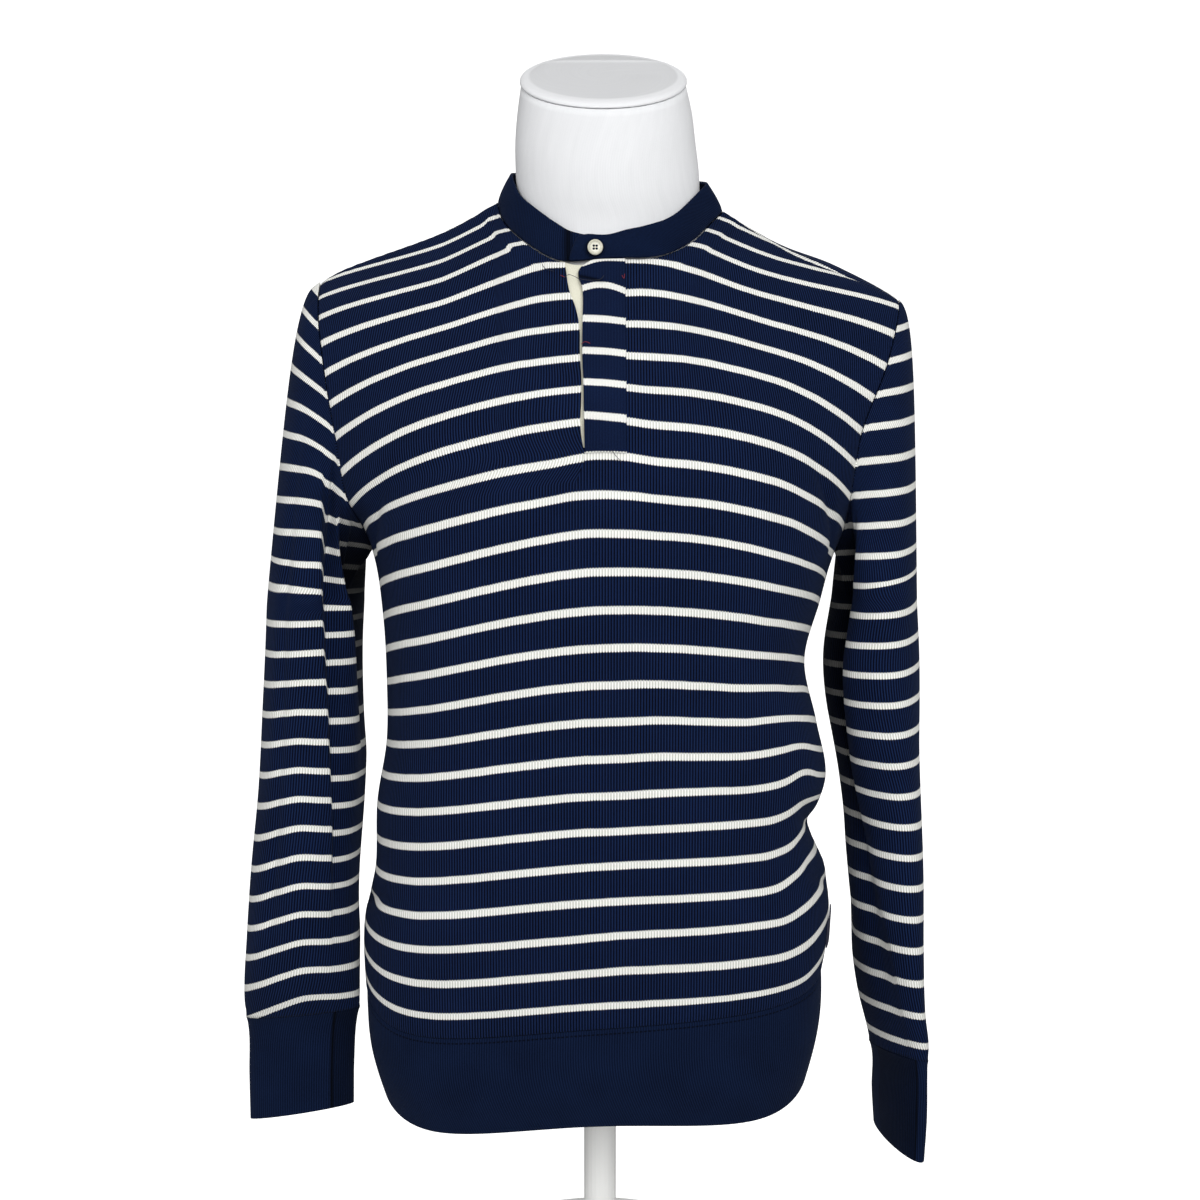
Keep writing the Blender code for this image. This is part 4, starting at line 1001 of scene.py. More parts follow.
HEAD_RINGS = 46
TUBE_RINGS = 118
LEFT_HEAD = 0.42              # how far out the sleeve head turns down
RIGHT_HEAD = 0.7
HEAD_PULL = 2.0               # how sharply it turns there; 1 is a plain curve
HEAD_FOLD_FREE = 0.35         # the armhole's seam holds the folds over this share of the head


def crease_depth(creases, z, degrees):
    """How deep the creases are at each point of a sleeve."""
    depth = np.zeros(np.broadcast(z, degrees).shape)
    for i in range(len(creases["depth"])):
        along = (creases["top_z"][i] - z) / (creases["top_z"][i] - creases["end_z"][i])
        at = creases["top_at"][i] + (creases["end_at"][i] - creases["top_at"][i]) * along
        off = (degrees - at + 180) % 360 - 180
        width = np.where(off > 0, creases["outer"][i], creases["inner"][i])
        fade = ease(-0.05, 0.25, along) * (1 - ease(0.75, 1.05, along))
        depth += creases["depth"][i] * fade * np.exp(-(off / width) ** 2)
    return depth


def tuck(rows, z, degrees):
    """How deep a tuck is at each point, and how much lower the stripes lie there."""
    row = read(rows, "z", z)
    beyond = row["at"] - (degrees + 180) % 360 + 180
    step = ease(0, TUCK_STEP, beyond)
    depth = row["depth"] * step * (1 - ease(TUCK_STEP, TUCK_STEP + row["reach"], beyond))
    fade = 1 - ease(90, 150, beyond)
    return np.maximum(depth, 0), row["lower"] * step * fade


def folds(creases, tucks, z, degrees):
    """How deep the creases and tucks are together."""
    return crease_depth(creases, z, degrees) + sum(tuck(rows, z, degrees)[0] for rows in tucks)


def sleeve_points(side, sections, creases, tucks, z, degrees):
    """Points of a sleeve or cuff. degrees runs from the inner side round the front."""
    row = read(sections, "z", z)
    turn = np.radians(row["turn"])
    angle = np.radians(degrees) - turn
    out = -row["across"] * np.cos(angle)
    forward = row["deep"] * np.sin(angle)
    outward = out * np.cos(turn) + forward * np.sin(turn)
    ahead = forward * np.cos(turn) - out * np.sin(turn)
    shrink = 1.0
    if creases:
        shrink = 1 - folds(creases, tucks, z, degrees) / np.hypot(outward, ahead)
    widest = 2 * np.maximum(row["across"], row["deep"])
    height = z + (row["rise"] * ahead - row["drop"] * outward) / widest
    return np.stack([row["x"] + side * outward * shrink, row["y"] - ahead * shrink, height], -1)


def sleeve_shape(side, sections, creases, tucks, turn_down):
    """The sleeve's points, each point's height along the sleeve, and each column's degrees."""
    half = SLEEVE_AROUND // 2
    share = np.arange(half + 1) / half
    forward = front_point(np.full(half + 1, side), UNDERARM_COURSE
                          + share * (front_top(side) - UNDERARM_COURSE))
    hole = np.concatenate([forward, armhole_back(side, share[1:-1][::-1])])
    degrees = np.arange(SLEEVE_AROUND) * 360 / SLEEVE_AROUND
    top = sections["z"][-1]
    first = sleeve_points(side, sections, creases, tucks, np.full(SLEEVE_AROUND, top), degrees)
    height = (1 - np.cos(np.radians(degrees))) / 2
    middle = hole + (0.5 + (turn_down - 0.5) * height ** 2)[:, None] * (first - hole)
    middle[:, 2] = hole[:, 2] - (0.02 + 0.48 * (1 - height) ** 1.5) * (hole[:, 2] - first[:, 2])
    steps = graded(0.0, 1.0, HEAD_RINGS + 1)[:-1, None, None]
    head = bezier(hole, middle, first, steps, HEAD_PULL)
    way = unit((head.mean(axis=1, keepdims=True) - head) * np.array([1, 1, 0]))
    depth = folds(creases, tucks, head[..., 2], degrees + 0 * head[..., 2])
    depth = depth * ease(0, HEAD_FOLD_FREE, steps[..., 0])
    head_z = head[..., 2]
    head = head + way * depth[..., None]
    z = np.linspace(top, sections["z"][0], TUBE_RINGS)[:, None] + 0 * degrees
    tube = sleeve_points(side, sections, creases, tucks, z, degrees + 0 * z)
    return np.concatenate([head, tube]), np.concatenate([head_z, z]), degrees


def relaxed(grid, rounds):
    """Softens a grid along its columns, with its first and last rows held."""
    for _ in range(rounds):
        grid = np.concatenate([grid[:1], (grid[:-2] + 2 * grid[1:-1] + grid[2:]) / 4, grid[-1:]])
    return grid


# Where the stripes lie down each sleeve: their number by height, and how steeply they run down
# towards the body, on the outer and the inner side of the sleeve's middle.
LEFT_STRIPES = table(
    "z count",
    (150, -1.0), (175, 0), (201, 1), (293, 5), (402, 10), (512, 15), (581, 18), (627, 20),
    (678, 22), (725, 24),
)
LEFT_SLOPES = table(
    "z hinge outer inner",
    (150, 226, -0.4, 0.15), (290, 226, -0.42, 0.2), (380, 226, -0.25, 0.12),
    (480, 214, -0.03, 0.05), (540, 208, 0.05, 0.4), (580, 211, 0.1, 0.8), (604, 215, 0.2, 0.85),
    (627, 219, 0.3, 0.85), (650, 223, 0.55, 0.9), (680, 226, 1.0, 0.95),
)
RIGHT_STRIPES = table(
    "z count",
    (100, -1.1), (128, 0), (155, 1), (211, 3), (262, 5), (382, 10), (497, 15), (566, 18),
    (616, 20), (664, 22), (709, 24),
)
RIGHT_SLOPES = table(
    "z hinge outer inner",
    (300, 228, 0, 0), (400, 228, 0.22, 0.02), (450, 228, 0.3, 0.05), (560, 228, 0.4, 0.1),
    (612, 227, 0.4, 0.13), (660, 226, 0.4, 0.22), (690, 225, 0.4, 0.35),
)
HINGE_SOFTNESS = 4.0          # mm over which a stripe turns from one slope to the other


# The hollow on the body's side of each sleeve lies in deep shadow, which is painted on as shade:
# how far round it reaches on the front, in degrees, and how dark it is. Behind, it ends at
# HOLLOW_BACK.
LEFT_HOLLOW = table(
    "z start shade",
    (330, 0, 0), (400, 14, 0.5), (440, 21, 0.8), (480, 31, 0.92), (515, 43, 0.92),
    (535, 46, 0.7), (560, 50, 0),
)
RIGHT_HOLLOW = table(
    "z start shade",
    (250, 20, 0), (330, 29, 0.45), (360, 27, 0.6), (400, 34, 0.75), (440, 38, 0.85),
    (490, 42, 0.85), (520, 48, 0.8), (550, 40, 0.3), (575, 30, 0),
)
HOLLOW_BACK = 300


def make_sleeve(name, side, sections, creases, tucks, turn_down, stripes, slopes, hollow):
    grid, height, degrees = sleeve_shape(side, sections, creases, tucks, turn_down)
    grid = relaxed(grid, 6)
    closed = np.concatenate([grid, grid[:, :1]], axis=1)
    height = np.concatenate([height, height[:, :1]], axis=1)
    around = np.append(degrees, 359.99)
    across = lengths(closed, 1)
    slope = read(slopes, "z", height)
    inside = slope["hinge"] - side * closed[..., 0]
    past = HINGE_SOFTNESS * np.logaddexp(0, inside / HINGE_SOFTNESS)
    level = height + slope["inner"] * past + slope["outer"] * (inside - past)
    level = level + sum(tuck(rows, height, around + 0 * height)[1] for rows in tucks)
    along = smooth(stripes["z"], stripes["count"], level) * COURSE
    inner_first = side < 0
    grid = finish_edges(grid, ("bottom", "top"), pucker=SLEEVE_PUCKER, tube=True,
                        flip=inner_first)
    made = knit(name, grid, across, along, tube=True, flip=not inner_first)
    deep = read(hollow, "z", height[:, :-1])
    inside_hollow = (1 - ease(deep["start"] - 4, deep["start"] + 1, degrees)
                     + ease(HOLLOW_BACK, HOLLOW_BACK + 30, degrees))
    # Painted shade in the hollow beside the body.
    set_shade(made, deep["shade"] * inside_hollow)
    return thicken(made, WALL)


left_sleeve = make_sleeve("left_sleeve", -1.0, LEFT_SLEEVE, LEFT_CREASES,
                          (LEFT_TUCK, LEFT_UNDER_TUCK), LEFT_HEAD, LEFT_STRIPES, LEFT_SLOPES,
                          LEFT_HOLLOW)
right_sleeve = make_sleeve("right_sleeve", 1.0, RIGHT_SLEEVE, RIGHT_CREASES, (RIGHT_TUCK,),
                           RIGHT_HEAD, RIGHT_STRIPES, RIGHT_SLOPES, RIGHT_HOLLOW)
for sleeve, sleeve_node in ((left_sleeve, "sleeve_left"), (right_sleeve, "sleeve_right")):
    sleeve.data.materials.append(striped_jersey)
    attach(sleeve, "root")
    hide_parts(sleeve_node)


# ---------------------------------------------------------------------------------- cuffs
# Each cuff is a tube of navy rib knit, folded double, with its fold at the wrist. It is sewn
# to the sleeve's end and holds it in.
RIB_WALL = 2.2
LEFT_CUFF = table(
    "z x y across deep turn drop rise",
    (75, -236, -30, 41, 18, 0, 13, 22),
    (112, -235.5, -30, 41.5, 18.5, 0, 11, 21),
    (145, -234, -30, 42.5, 20, 0, 9, 19),
    (156, -233.5, -30, 44, 22, 0, 8, 18),
)
RIGHT_CUFF = table(
    "z x y across deep turn drop rise",
    (38, 242.5, -3, 11, 40, 15, 8, 0),
    (70, 242, -4, 11.5, 40, 18, 8, 7),
    (104, 241.5, -4, 11.5, 40, 18, 8, 14),
    (114, 240.5, -4, 12.5, 41, 18, 8, 16),
)
# Each cuff is closed by a seam, drawn as a dark line of painted shade this many degrees round it.
# The rib between the seam and the body gets painted shade as well.
LEFT_CUFF_SEAM = 51
RIGHT_CUFF_SEAM = 84
CUFF_SEAM_WIDTH = 1.8
CUFF_SEAM_SHADE = 0.8
CUFF_SIDE_SHADE = 0.45
RIB_SINK = 0.7                # how far a seam draws the thick rib in


def make_cuff(name, side, sections, seam_at):
    degrees = np.arange(SLEEVE_AROUND) * 360 / SLEEVE_AROUND
    z = graded(sections["z"][0], sections["z"][-1], 28)[::-1, None]
    grid = sleeve_points(side, sections, None, (), z + 0 * degrees, degrees + 0 * z)
    closed = np.concatenate([grid, grid[:, :1]], axis=1)
    inner_first = side < 0
    across, along = lengths(closed, 1), lengths(closed, 0)
    grid = finish_edges(grid, ("bottom",), depth=RIB_SINK, tube=True, flip=inner_first)
    made = knit(name, grid, across, along, tube=True, flip=not inner_first)
    # Painted shade: a dark line along the seam, and the rib on the body's side of it.
    shade = (CUFF_SEAM_SHADE * np.exp(-((degrees - seam_at) / CUFF_SEAM_WIDTH) ** 2)
             + CUFF_SIDE_SHADE * (1 - ease(seam_at - 2, seam_at + 2, degrees)))
    set_shade(made, np.broadcast_to(shade, grid.shape[:2]))
    return thicken(made, RIB_WALL)


def make_navy_rib():
    """One-by-one cotton rib with a little elastane, knitted, doubled and steamed flat.

    Close upright ribs, drawn 1.9 mm apart, and no stripes: slightly smoother than the body. A
    second row of stitches, each 3 mm long, runs 3.6 mm below the seam, drawn near black: the
    stitches themselves, with painted shade in the ditch they sink into."""
    made, tree, output = start_material("navy_cotton_rib")
    place = node(tree, "ShaderNodeUVMap", {"uv_map": "cloth"}, {})
    parts = node(tree, "ShaderNodeSeparateXYZ", {}, {0: place})
    rib_pitch = 0.0019            # drawn a little coarser than the real rib, to show
    row_place = 0.0036            # below the seam, which is at 0 on the hem alone
    stitch = 0.0032
    turn = node(tree, "ShaderNodeMath", {"operation": "MULTIPLY"},
                {0: parts.outputs[0], 1: 2 * math.pi / rib_pitch})
    rib = node(tree, "ShaderNodeMath", {"operation": "SINE"}, {0: turn})
    fibre = node(tree, "ShaderNodeTexNoise", {}, {"Vector": place, "Scale": 1500.0, "Detail": 3.0})
    patch = node(tree, "ShaderNodeTexNoise", {}, {"Vector": place, "Scale": 26.0, "Detail": 3.0})
    nap = node(tree, "ShaderNodeMath", {"operation": "MULTIPLY_ADD"},
               {0: rib, 1: 0.3, 2: fibre.outputs[0]})
    tone = node(tree, "ShaderNodeMath", {"operation": "MULTIPLY_ADD"},
                {0: patch.outputs[0], 1: 0.4, 2: nap})
    depth = node(tree, "ShaderNodeMapRange", {}, {
        "Value": tone, "From Min": 0.3, "From Max": 1.1, "To Min": 0.0, "To Max": 1.0})
    navy = node(tree, "ShaderNodeMix", {"data_type": "RGBA"},
                {0: depth, 6: linear("#040A1C"), 7: linear("#11203F")})
    below = node(tree, "ShaderNodeMath", {"operation": "ADD"}, {0: parts.outputs[1], 1: row_place})
    off_row = node(tree, "ShaderNodeMath", {"operation": "ABSOLUTE"}, {0: below})
    row = node(tree, "ShaderNodeMapRange", {}, {
        "Value": off_row, "From Min": 0.0008, "From Max": 0.0003, "To Min": 0.0, "To Max": 1.0})
    beat = node(tree, "ShaderNodeMath", {"operation": "MULTIPLY"},
                {0: parts.outputs[0], 1: 2 * math.pi / stitch})
    pulse = node(tree, "ShaderNodeMath", {"operation": "SINE"}, {0: beat})
    dash = node(tree, "ShaderNodeMapRange", {}, {
        "Value": pulse, "From Min": -0.6, "From Max": 0.0, "To Min": 0.15, "To Max": 0.8})
    stitches = node(tree, "ShaderNodeMath", {"operation": "MULTIPLY"}, {0: row, 1: dash})
    # The stitch row goes near black: the real stitches, with painted shade in their ditch.
    sewn = node(tree, "ShaderNodeMix", {"data_type": "RGBA"},
                {0: stitches, 6: navy.outputs[2], 7: linear("#010208")})
    ribbed = node(tree, "ShaderNodeMath", {"operation": "MULTIPLY_ADD"},
                  {0: rib, 1: 0.6, 2: fibre.outputs[0]})
    relief = node(tree, "ShaderNodeMath", {"operation": "MULTIPLY_ADD"},
                  {0: stitches, 1: -1.5, 2: ribbed})
    bump = node(tree, "ShaderNodeBump", {}, {"Height": relief, "Strength": 0.5,
                                             "Distance": 0.0003})
    knitted = node(tree, "ShaderNodeBsdfPrincipled", {}, {
        "Base Color": shaded(tree, sewn.outputs[2]).outputs[2], "Roughness": 0.92,
        "Specular IOR Level": 0.06, "Sheen Weight": 0.05, "Sheen Roughness": 0.45,
        "Sheen Tint": linear("#9FB2DC"), "Normal": bump,
    })
    link_surface(tree, output, knitted)
    return made


navy_rib = make_navy_rib()
left_cuff = make_cuff("left_cuff", -1.0, LEFT_CUFF, LEFT_CUFF_SEAM)
right_cuff = make_cuff("right_cuff", 1.0, RIGHT_CUFF, RIGHT_CUFF_SEAM)
for cuff, cuff_node, sleeve in ((left_cuff, "cuff_left", left_sleeve),
                                (right_cuff, "cuff_right", right_sleeve)):
    cuff.data.materials.append(navy_rib)
    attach(cuff, "root")
    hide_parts(cuff_node)


# ------------------------------------------------------------------------------- hem band
# The hem is a ring of the same rib, folded double and sewn to the body with two rows of
# stitches. It holds the body in, so the cloth above it blouses a little.
HEM_END = table(
    "left_x left_z left_mid_z centre_z right_mid_z right_x right_z centre_y edge_y",
    (-174, 105, 82, 94, 92, 166, 116, -99, -10),
)
HEM_END_BACK = table("left_mid_z centre_z right_mid_z centre_y", (93, 90, 96, 84))
HEM_BLOUSE = 4.0              # the rib swells this far between its edges,
HEM_LEFT_EDGE = -3.5          # or is drawn in, at its left side, from this share of the way to it
HEM_LEFT_START = 0.82


def hem_grid():
    """The hem rib, from its lower edge up to its seam, all round from the left side seam."""
    seam = np.concatenate([front_point(FRONT_PLACES, SEAM_COURSE),
                           back_rows(np.array([SEAM_COURSE]))[0][::-1][1:-1]])
    end = {name: values[0] for name, values in HEM_END.items()}
    end.update(left_y=end["edge_y"], right_y=end["edge_y"], turn=90.0)
    rear = dict(end)
    rear.update({name: values[0] for name, values in HEM_END_BACK.items()})
    lower = np.concatenate([section_point(end, FRONT_PLACES),
                            section_point(rear, BACK_PLACES[::-1][1:-1])])
    t = graded(0.0, 1.0, 30)[:, None, None]
    points = lower + (seam - lower) * t
    place = np.concatenate([FRONT_PLACES, BACK_PLACES[::-1][1:-1]])
    held_in = ease(HEM_LEFT_START, 1.0, -place)[:, None]
    swell = HEM_BLOUSE * (1 - held_in) + HEM_LEFT_EDGE * held_in
    return points - inward(points) * swell * np.sin(np.pi * t)


def make_hem():
    grid = hem_grid()
    closed = np.concatenate([grid, grid[:, :1]], axis=1)
    across, along = lengths(closed, 1), lengths(closed, 0)
    grid = finish_edges(grid, ("top",), depth=RIB_SINK, tube=True)
    made = knit("hem_rib", grid, across, along - along[-1:], tube=True)
    return thicken(made, RIB_WALL)


hem_band = make_hem()
hem_band.data.materials.append(navy_rib)
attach(hem_band, "root")
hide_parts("hem_band")


# ------------------------------------------------------------------------- placket strips
# A strip of smooth striped jersey is sewn over the slit's right edge, and a cream herringbone
# tape lies behind the slit and shows where the slit is drawn open.

# The strip's left edge, which bellies out and turns in under the collar at its top.
PLACKET_EDGE = table(
    "course x",
    (15.0, -10.5), (16.0, -11.2), (17.0, -11.6), (18.0, -12.6), (19.0, -12.5), (19.8, -12.4),
    (20.1, -13.0), (20.3, -14.4), (20.5, -15.8), (20.7, -15.2), (20.85, -12.5), (21.0, -7.0),
)
PLACKET_RIGHT = 18.5
PLACKET_RIGHT_LOWER = 3.2     # mm by which the stripes run down from its left to its right side
PLACKET_CREASE = (-16.0, 20.5, 2.0, 20.26)  # a small crease across it: x and course of its ends
CREASE_WIDTH = 1.5
CREASE_DEPTH = 1.0
# How dark the painted shade along the crease is.
CREASE_SHADE = 0.85
PLACKET_START = 15.05
PLACKET_TOP = 21.1
PLACKET_WALL = 1.3
PLACKET_COLUMNS = 33
TAPE_LEFT = -30.0
TAPE_RIGHT = 4.0
TAPE_START = 14.9
TAPE_WALL = 1.0
LAYER_GAP = 0.6
STRIP_END = 0.06              # courses by which a strip ends short of the collar seam


def place_at(x, course):
    """The place on the front that lies at x, for x near the centre."""
    row = read(FRONT, "course", course)
    full = np.radians(row["turn"])
    edge = np.where(x < 0, row["left_x"], row["right_x"])
    slope = full * (1 + 3 * SQUARE) / bow(full)
    return np.sign(x) * np.abs(x / edge / slope)


def strip_grid(edge, right, start, out, rows, columns):
    """A strip along the centre front, made from the front's own points, moved out."""
    x = np.linspace(edge[-1], right, columns)
    top = front_top(place_at(x, np.full(columns, 21.0))) - STRIP_END
    share = graded(0.0, 1.0, rows)[:, None]
    course = start + (top - start) * share
    left = np.interp(course, np.linspace(start, top.max(), len(edge)), edge)
    x = left + (right - left) * np.linspace(0, 1, columns)
    place = place_at(x, course)
    step = 0.01
    points = front_point(place, course)
    sideways = front_point(place + step, course) - front_point(place - step, course)
    upward = front_point(place, course + step) - front_point(place, course - step)
    return points + unit(np.cross(sideways, upward)) * out, course, x


def placket_drift(share, course):
    """How many mm lower the stripes lie on the strip, whose left edge is at share 0.

    They run down to the right. At its lower end they are level with the front's, from course
    19.2 to 20 they rise to an arch, and above course 20.3 they turn down at the left edge."""
    left_end = np.exp(-(share / 0.18) ** 2)
    arch = np.sin(np.pi * share)
    lower = PLACKET_RIGHT_LOWER * share - 2.0
    lower = lower + (1 - ease(15.0, 15.7, course)) * (2.5 - PLACKET_RIGHT_LOWER * share)
    lower = lower + ease(19.2, 20.0, course) * (0.5 * left_end - 3.2 * arch)
    return lower + ease(20.3, 21.0, course) * (3.3 * left_end + 3.0 * arch - 4.4 * share)


def make_placket():
    edge = smooth(PLACKET_EDGE["course"], PLACKET_EDGE["x"],
                  np.linspace(PLACKET_START, PLACKET_TOP, 240))
    grid, course, x = strip_grid(edge, PLACKET_RIGHT, PLACKET_START,
                                 LAYER_GAP + PLACKET_WALL, 150, PLACKET_COLUMNS)
    drift = placket_drift(np.linspace(0, 1, PLACKET_COLUMNS), course)
    x0, course0, x1, course1 = PLACKET_CREASE
    share = (x - x0) / (x1 - x0)
    off = (course - course0 - (course1 - course0) * np.clip(share, 0, 1)) * COURSE
    crease = np.exp(-(off / CREASE_WIDTH) ** 2) * (1 - ease(0.7, 1.25, share))
    grid[..., 1] += CREASE_DEPTH * crease
    made = knit("placket_strip", grid, x, course * COURSE + drift)
    # Painted shade along the crease.
    set_shade(made, CREASE_SHADE * crease)
    return thicken(made, PLACKET_WALL)


def make_tape():
    grid, course, x = strip_grid([TAPE_LEFT], TAPE_RIGHT, TAPE_START, -WALL - LAYER_GAP, 90, 15)
    made = knit("slit_tape", grid, x, course * COURSE)
    return thicken(made, TAPE_WALL)


def make_twill_tape():
    """Unbleached cotton herringbone tape, woven in 3.2 mm stripes of slanting twill."""
    made, tree, output = start_material("cream_herringbone_tape")
    place = node(tree, "ShaderNodeUVMap", {"uv_map": "cloth"}, {})
    parts = node(tree, "ShaderNodeSeparateXYZ", {}, {0: place})
    herringbone = 0.0016
    twill_pitch = 0.0012          # drawn coarser than the real 0.6 mm, to show
    slant = node(tree, "ShaderNodeMath", {"operation": "PINGPONG"},
                 {0: parts.outputs[0], 1: herringbone})
    climb = node(tree, "ShaderNodeMath", {"operation": "ADD"}, {0: slant, 1: parts.outputs[1]})
    turn = node(tree, "ShaderNodeMath", {"operation": "MULTIPLY"},
                {0: climb, 1: 2 * math.pi / twill_pitch})
    twill = node(tree, "ShaderNodeMath", {"operation": "SINE"}, {0: turn})
    fibre = node(tree, "ShaderNodeTexNoise", {}, {"Vector": place, "Scale": 1800.0, "Detail": 3.0})
    tone = node(tree, "ShaderNodeMath", {"operation": "MULTIPLY_ADD"},
                {0: twill, 1: 0.22, 2: fibre.outputs[0]})
    depth = node(tree, "ShaderNodeMapRange", {}, {
        "Value": tone, "From Min": 0.2, "From Max": 0.8, "To Min": 0.0, "To Max": 1.0})
    colour = node(tree, "ShaderNodeMix", {"data_type": "RGBA"},
                  {0: depth, 6: linear("#CFCDB6"), 7: linear("#F8F6E6")})
    bump = node(tree, "ShaderNodeBump", {}, {"Height": tone, "Strength": 0.5, "Distance": 0.0002})
    tape = node(tree, "ShaderNodeBsdfPrincipled", {}, {
        "Base Color": colour.outputs[2], "Roughness": 0.85, "Specular IOR Level": 0.2,
        "Sheen Weight": 0.05, "Normal": bump})
    link_surface(tree, output, tape)
    return made


twill_tape = make_twill_tape()
placket_top = make_placket()
placket_top.data.materials.append(make_striped_jersey("smooth_striped_jersey", 0.1))
placket_tape = make_tape()
placket_tape.data.materials.append(twill_tape)
for strip, strip_node, strip_slot, strip_flat in (
    (placket_top, "placket_top", "navy_jersey", (0.032, 0.16)),
    (placket_tape, "placket_tape", "cream_tape", (0.034, 0.165)),
):
    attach(strip, "root")
    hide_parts(strip_node)


# --------------------------------------------------------------------------------- collar
# A low stand collar of the navy rib, folded double. It starts under the placket on the right,
# goes round the neck from there to the left and laps over itself at the front.
COLLAR = table(
    "around height lean",
    (-90, 20, 3.5), (-40, 20, 8), (0, 21.5, 13), (25, 23.2, 8), (48, 24.0, 4.5), (70, 21.3, 3),
    (92, 17.2, 2), (108, 19.2, 4), (130, 22.5, 7), (155, 22.5, 11), (180, 22, 12), (220, 20, 7),
    (270, 20, 3.5),
)
COLLAR_START = 0.06
COLLAR_END = -0.078
COLLAR_LAP = RIB_WALL + 0.7   # how far the outer end stands out over the inner one
COLLAR_LAP_SPREAD = 0.6
COLLAR_MIDDLE = (6.0, -2.0)
COLLAR_SWELL = 1.0
COLLAR_COLUMNS = 230
COLLAR_ROWS = 14
COLLAR_CORNER = 15.0          # the outer end's top corner is rounded over this length,
COLLAR_END_HEIGHT = 0.55      # from this share of the collar's height
# The lap's end and the button each throw a narrow shadow on the rib behind, painted there as a
# dark band: its distance from the end or from the button's middle, its half width and how dark it
# is.
LAP_SHADOW = (1.0, 3.2, 0.85)
BUTTON_SHADOW = (5.6, 1.4, 0.8)
BUTTON_SHADOW_SHIFT = (0.8, 0.6)            # how far it falls to the left and down


def collar_seam():
    """The collar's sewn edge, evenly spaced, and how far each point laps over."""
    left = np.linspace(COLLAR_START, LEFT_NECK, 70)
    rear = np.linspace(LEFT_NECK, RIGHT_NECK, 90)[1:-1]
    right = np.linspace(RIGHT_NECK, COLLAR_END, 90)
    points = np.concatenate([
        pulled_front(left, front_top(left)), back_neck(rear), front_point(right, front_top(right)),
    ])
    lap = np.concatenate([0 * left, 0 * rear, COLLAR_LAP * (1 - ease(0.13, 0.26, right))])
    run = lengths(points[None], 1)[0]
    even = np.linspace(0, run[-1], COLLAR_COLUMNS)
    points = np.stack([np.interp(even, run, values) for values in points.T], -1)
    return relaxed(points, 6), np.interp(even, run, lap)


def collar_grid():
    points, laps = collar_seam()
    away = unit((points - np.array([*COLLAR_MIDDLE, 0])) * np.array([1, 1, 0]))
    rise = unit(np.cross(np.gradient(points, axis=0), away))
    rise = unit(relaxed(rise, 60))
    around = (np.degrees(np.arctan2(-away[:, 1], away[:, 0])) + 90) % 360 - 90
    band = read(COLLAR, "around", around)
    run = lengths(points[None], 1)[0]
    corner = np.clip((run[-1] - run) / COLLAR_CORNER, 0, 1)
    rounded = np.sqrt(1 - (1 - corner) ** 2)
    height = band["height"] * (COLLAR_END_HEIGHT + (1 - COLLAR_END_HEIGHT) * rounded)
    t = np.linspace(0, 1, COLLAR_ROWS)[:, None]
    out = laps * (1 + COLLAR_LAP_SPREAD * t) - band["lean"] * t + COLLAR_SWELL * np.sin(np.pi * t)
    return points + rise * (height * t)[..., None] + away * out[..., None]


def make_collar():
    grid = collar_grid()
    across, along = lengths(grid, 1), lengths(grid, 0)
    grid = finish_edges(grid, ("bottom",), depth=0.5, flip=True)
    made = knit("collar_rib", grid, across, along, flip=True)
    # Painted shadows: beside the lap's end, and in a ring round the button.
    beyond, width, dark = LAP_SHADOW
    lap_shade = dark * np.exp(-((grid[0, -1, 0] - beyond - grid[..., 0]) / width) ** 2)
    left, down = BUTTON_SHADOW_SHIFT
    middle = np.mean(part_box("button"), axis=0) / MM - np.array([left, 0, DATUM + down])
    around = np.hypot(grid[..., 0] - middle[0], grid[..., 2] - middle[2])
    radius, width, dark = BUTTON_SHADOW
    button_shade = dark * np.exp(-((around - radius) / width) ** 2)
    under_lap = np.arange(COLLAR_COLUMNS) < COLLAR_COLUMNS // 3
    set_shade(made, np.where(under_lap, lap_shade, button_shade))
    return thicken(made, RIB_WALL)


collar_band = make_collar()
collar_band.data.materials.append(navy_rib)
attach(collar_band, "root")
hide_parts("collar_band")


# --------------------------------------------------------------------------- button, tab
# One four-hole shirt button of moulded polyester that looks like shell, 11.4 mm across. The
# solid already has its rim, dish and holes. The small folded woven tab at the side is plain.
def make_shell_polyester():
    """Cast polyester with a pearl pigment: glossy, with a cloudy swirl and a soft grey depth."""
    made, tree, output = start_material("pearl_polyester")
    place = node(tree, "ShaderNodeTexCoord", {}, {})
    swirl = node(tree, "ShaderNodeTexNoise", {}, {"Vector": place.outputs["Object"],
                                                  "Scale": 260.0, "Detail": 3.0,
                                                  "Distortion": 2.5})
    tone = node(tree, "ShaderNodeMix", {"data_type": "RGBA"},
                {0: swirl.outputs[0], 6: linear("#A9A793"), 7: linear("#F2F0DF")})
    bump = node(tree, "ShaderNodeBump", {}, {"Height": swirl.outputs[0], "Strength": 0.15,
                                             "Distance": 0.0002})
    pearl = node(tree, "ShaderNodeBsdfPrincipled", {}, {
        "Base Color": tone.outputs[2], "Roughness": 0.28, "IOR": 1.55, "Coat Weight": 0.4,
        "Coat Roughness": 0.15, "Normal": bump})
    link_surface(tree, output, pearl)
    return made


button_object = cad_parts["button"]
button_object.data.materials.clear()
button_object.data.materials.append(make_shell_polyester())


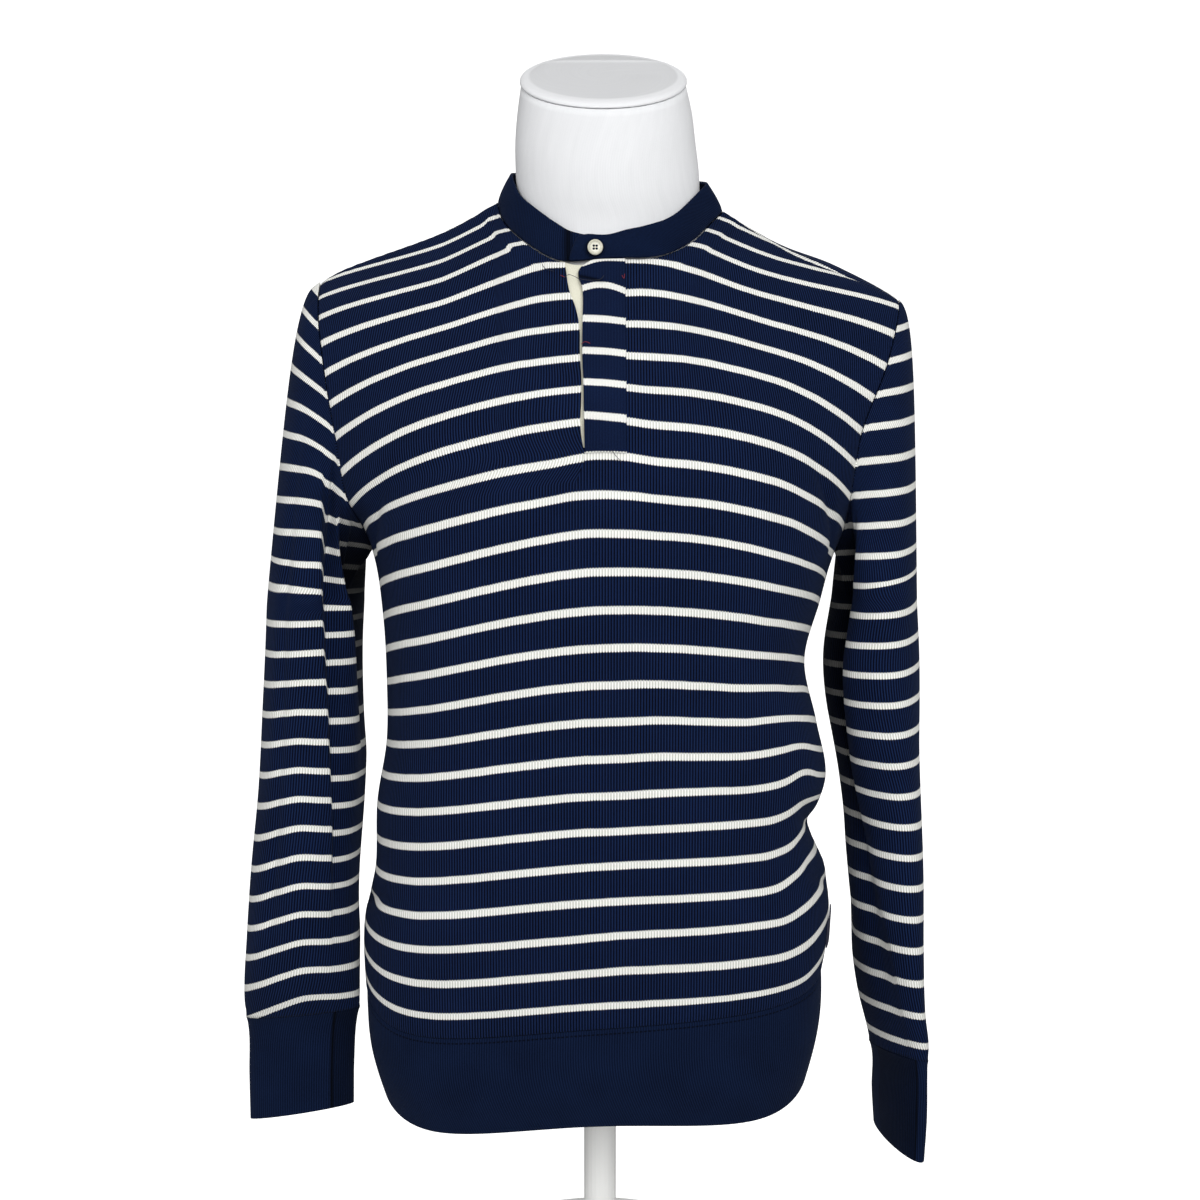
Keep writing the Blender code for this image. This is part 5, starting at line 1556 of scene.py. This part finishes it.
def make_tab_ribbon():
    """Dull polyester ribbon, woven plain: a grey-blue ground with fine crosswise ribs."""
    made, tree, output = start_material("woven_tab_ribbon")
    place = node(tree, "ShaderNodeTexCoord", {}, {})
    weave = node(tree, "ShaderNodeTexWave", {"bands_direction": "Z"}, {
        "Vector": place.outputs["Object"], "Scale": 320.0, "Distortion": 0.4})
    tone = node(tree, "ShaderNodeMix", {"data_type": "RGBA"},
                {0: weave.outputs[0], 6: linear("#232434"), 7: linear("#3C3E52")})
    bump = node(tree, "ShaderNodeBump", {}, {"Height": weave.outputs[0], "Strength": 0.3,
                                             "Distance": 0.0001})
    ribbon = node(tree, "ShaderNodeBsdfPrincipled", {}, {
        "Base Color": tone.outputs[2], "Roughness": 0.6, "Specular IOR Level": 0.3,
        "Normal": bump})
    link_surface(tree, output, ribbon)
    return made


tab_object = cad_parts["side_tab"]
tab_object.data.materials.clear()
tab_object.data.materials.append(make_tab_ribbon())


# -------------------------------------------------------------------------------- threads
# Loose ends of polyester sewing thread, 0.4 mm thick, are left where the strip, the collar and
# the button were sewn by hand: dark blue, with red tacking ends, and white at the button.
# The tables give x, course and how far the thread stands off the cloth.
THREAD_RADIUS = 0.2
DARK_THREAD = table(
    "x course out",
    (-26, 20.55, 3.0), (-23, 20.62, 4.2), (-19.5, 20.55, 4.4), (-15, 20.42, 5.2),
    (-8, 20.34, 4.6), (0, 20.36, 4.0), (3, 20.5, 3.2),
)
RED_END_LEFT = table("x course out", (-29, 20.66, 2.2), (-27, 20.6, 2.8), (-25.5, 20.55, 2.8))
RED_END_RIGHT = table("x course out", (16, 20.52, 4.2), (17.5, 20.42, 4.4), (18, 20.58, 4.0))
RED_TICK = table("x course out", (-13.4, 18.3, 3.4), (-10.5, 18.36, 3.6), (-7, 18.3, 3.2))
WHITE_TAIL = table("x course out", (0, 21.35, 6.0), (1.8, 21.5, 7.4), (3.2, 21.72, 8.2))
STRAY_LEFT = table("x course out", (-43, 21.22, 2.0), (-40, 21.0, 2.8), (-34, 20.85, 2.6))
STRAY_END = table("x course out", (8, 15.12, 2.4), (11, 14.98, 3.4), (15, 14.82, 2.2))


def make_sewing_thread(name, dark, light):
    """Spun polyester sewing thread, two ply: matt, its twist a fine slanting ribbing."""
    made, tree, output = start_material(name)
    place = node(tree, "ShaderNodeTexCoord", {}, {})
    twist = node(tree, "ShaderNodeTexWave", {"bands_direction": "DIAGONAL"}, {
        "Vector": place.outputs["Object"], "Scale": 900.0, "Distortion": 0.3})
    tone = node(tree, "ShaderNodeMix", {"data_type": "RGBA"},
                {0: twist.outputs[0], 6: linear(dark), 7: linear(light)})
    bump = node(tree, "ShaderNodeBump", {}, {"Height": twist.outputs[0], "Strength": 0.4,
                                             "Distance": 0.0001})
    thread = node(tree, "ShaderNodeBsdfPrincipled", {}, {
        "Base Color": tone.outputs[2], "Roughness": 0.7, "Normal": bump})
    link_surface(tree, output, thread)
    return made


def add_thread(name, spots, material):
    """A thin tube over the front along the spots: their x, course and height over the cloth."""
    run = np.arange(len(spots["x"]))
    row = read(dict(spots, run=run), "run", np.linspace(0, run[-1], 8 * len(run)))
    line = front_point(place_at(row["x"], row["course"]), row["course"])
    line = line + row["out"][:, None] * np.array([0, -1.0, 0])
    forward = unit(np.gradient(line, axis=0))
    side = unit(np.cross(forward, [0.0, 1.0, 0.0]))
    turn = np.linspace(0, 2 * np.pi, 8, endpoint=False)[:, None]
    over = np.cross(forward, side)
    grid = line[:, None] + THREAD_RADIUS * (np.cos(turn) * side[:, None]
                                            + np.sin(turn) * over[:, None])
    made = knit(name, grid, *ring_places(grid), tube=True)
    made.data.materials.append(material)
    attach(made, "root")


dark_thread = make_sewing_thread("dark_sewing_thread", "#080B14", "#1A1F2E")
red_thread = make_sewing_thread("red_tacking_thread", "#5E1018", "#A02530")
white_thread = make_sewing_thread("white_button_thread", "#D8D8D2", "#F6F6F2")
for thread_name, spots, thread_material in (
    ("thread_across_slit", DARK_THREAD, dark_thread),
    ("thread_end_left", RED_END_LEFT, red_thread),
    ("thread_end_right", RED_END_RIGHT, red_thread),
    ("thread_tick", RED_TICK, red_thread),
    ("thread_at_button", WHITE_TAIL, white_thread),
    ("thread_at_collar", STRAY_LEFT, dark_thread),
    ("thread_at_strip_end", STRAY_END, dark_thread),
):
    add_thread(thread_name, spots, thread_material)
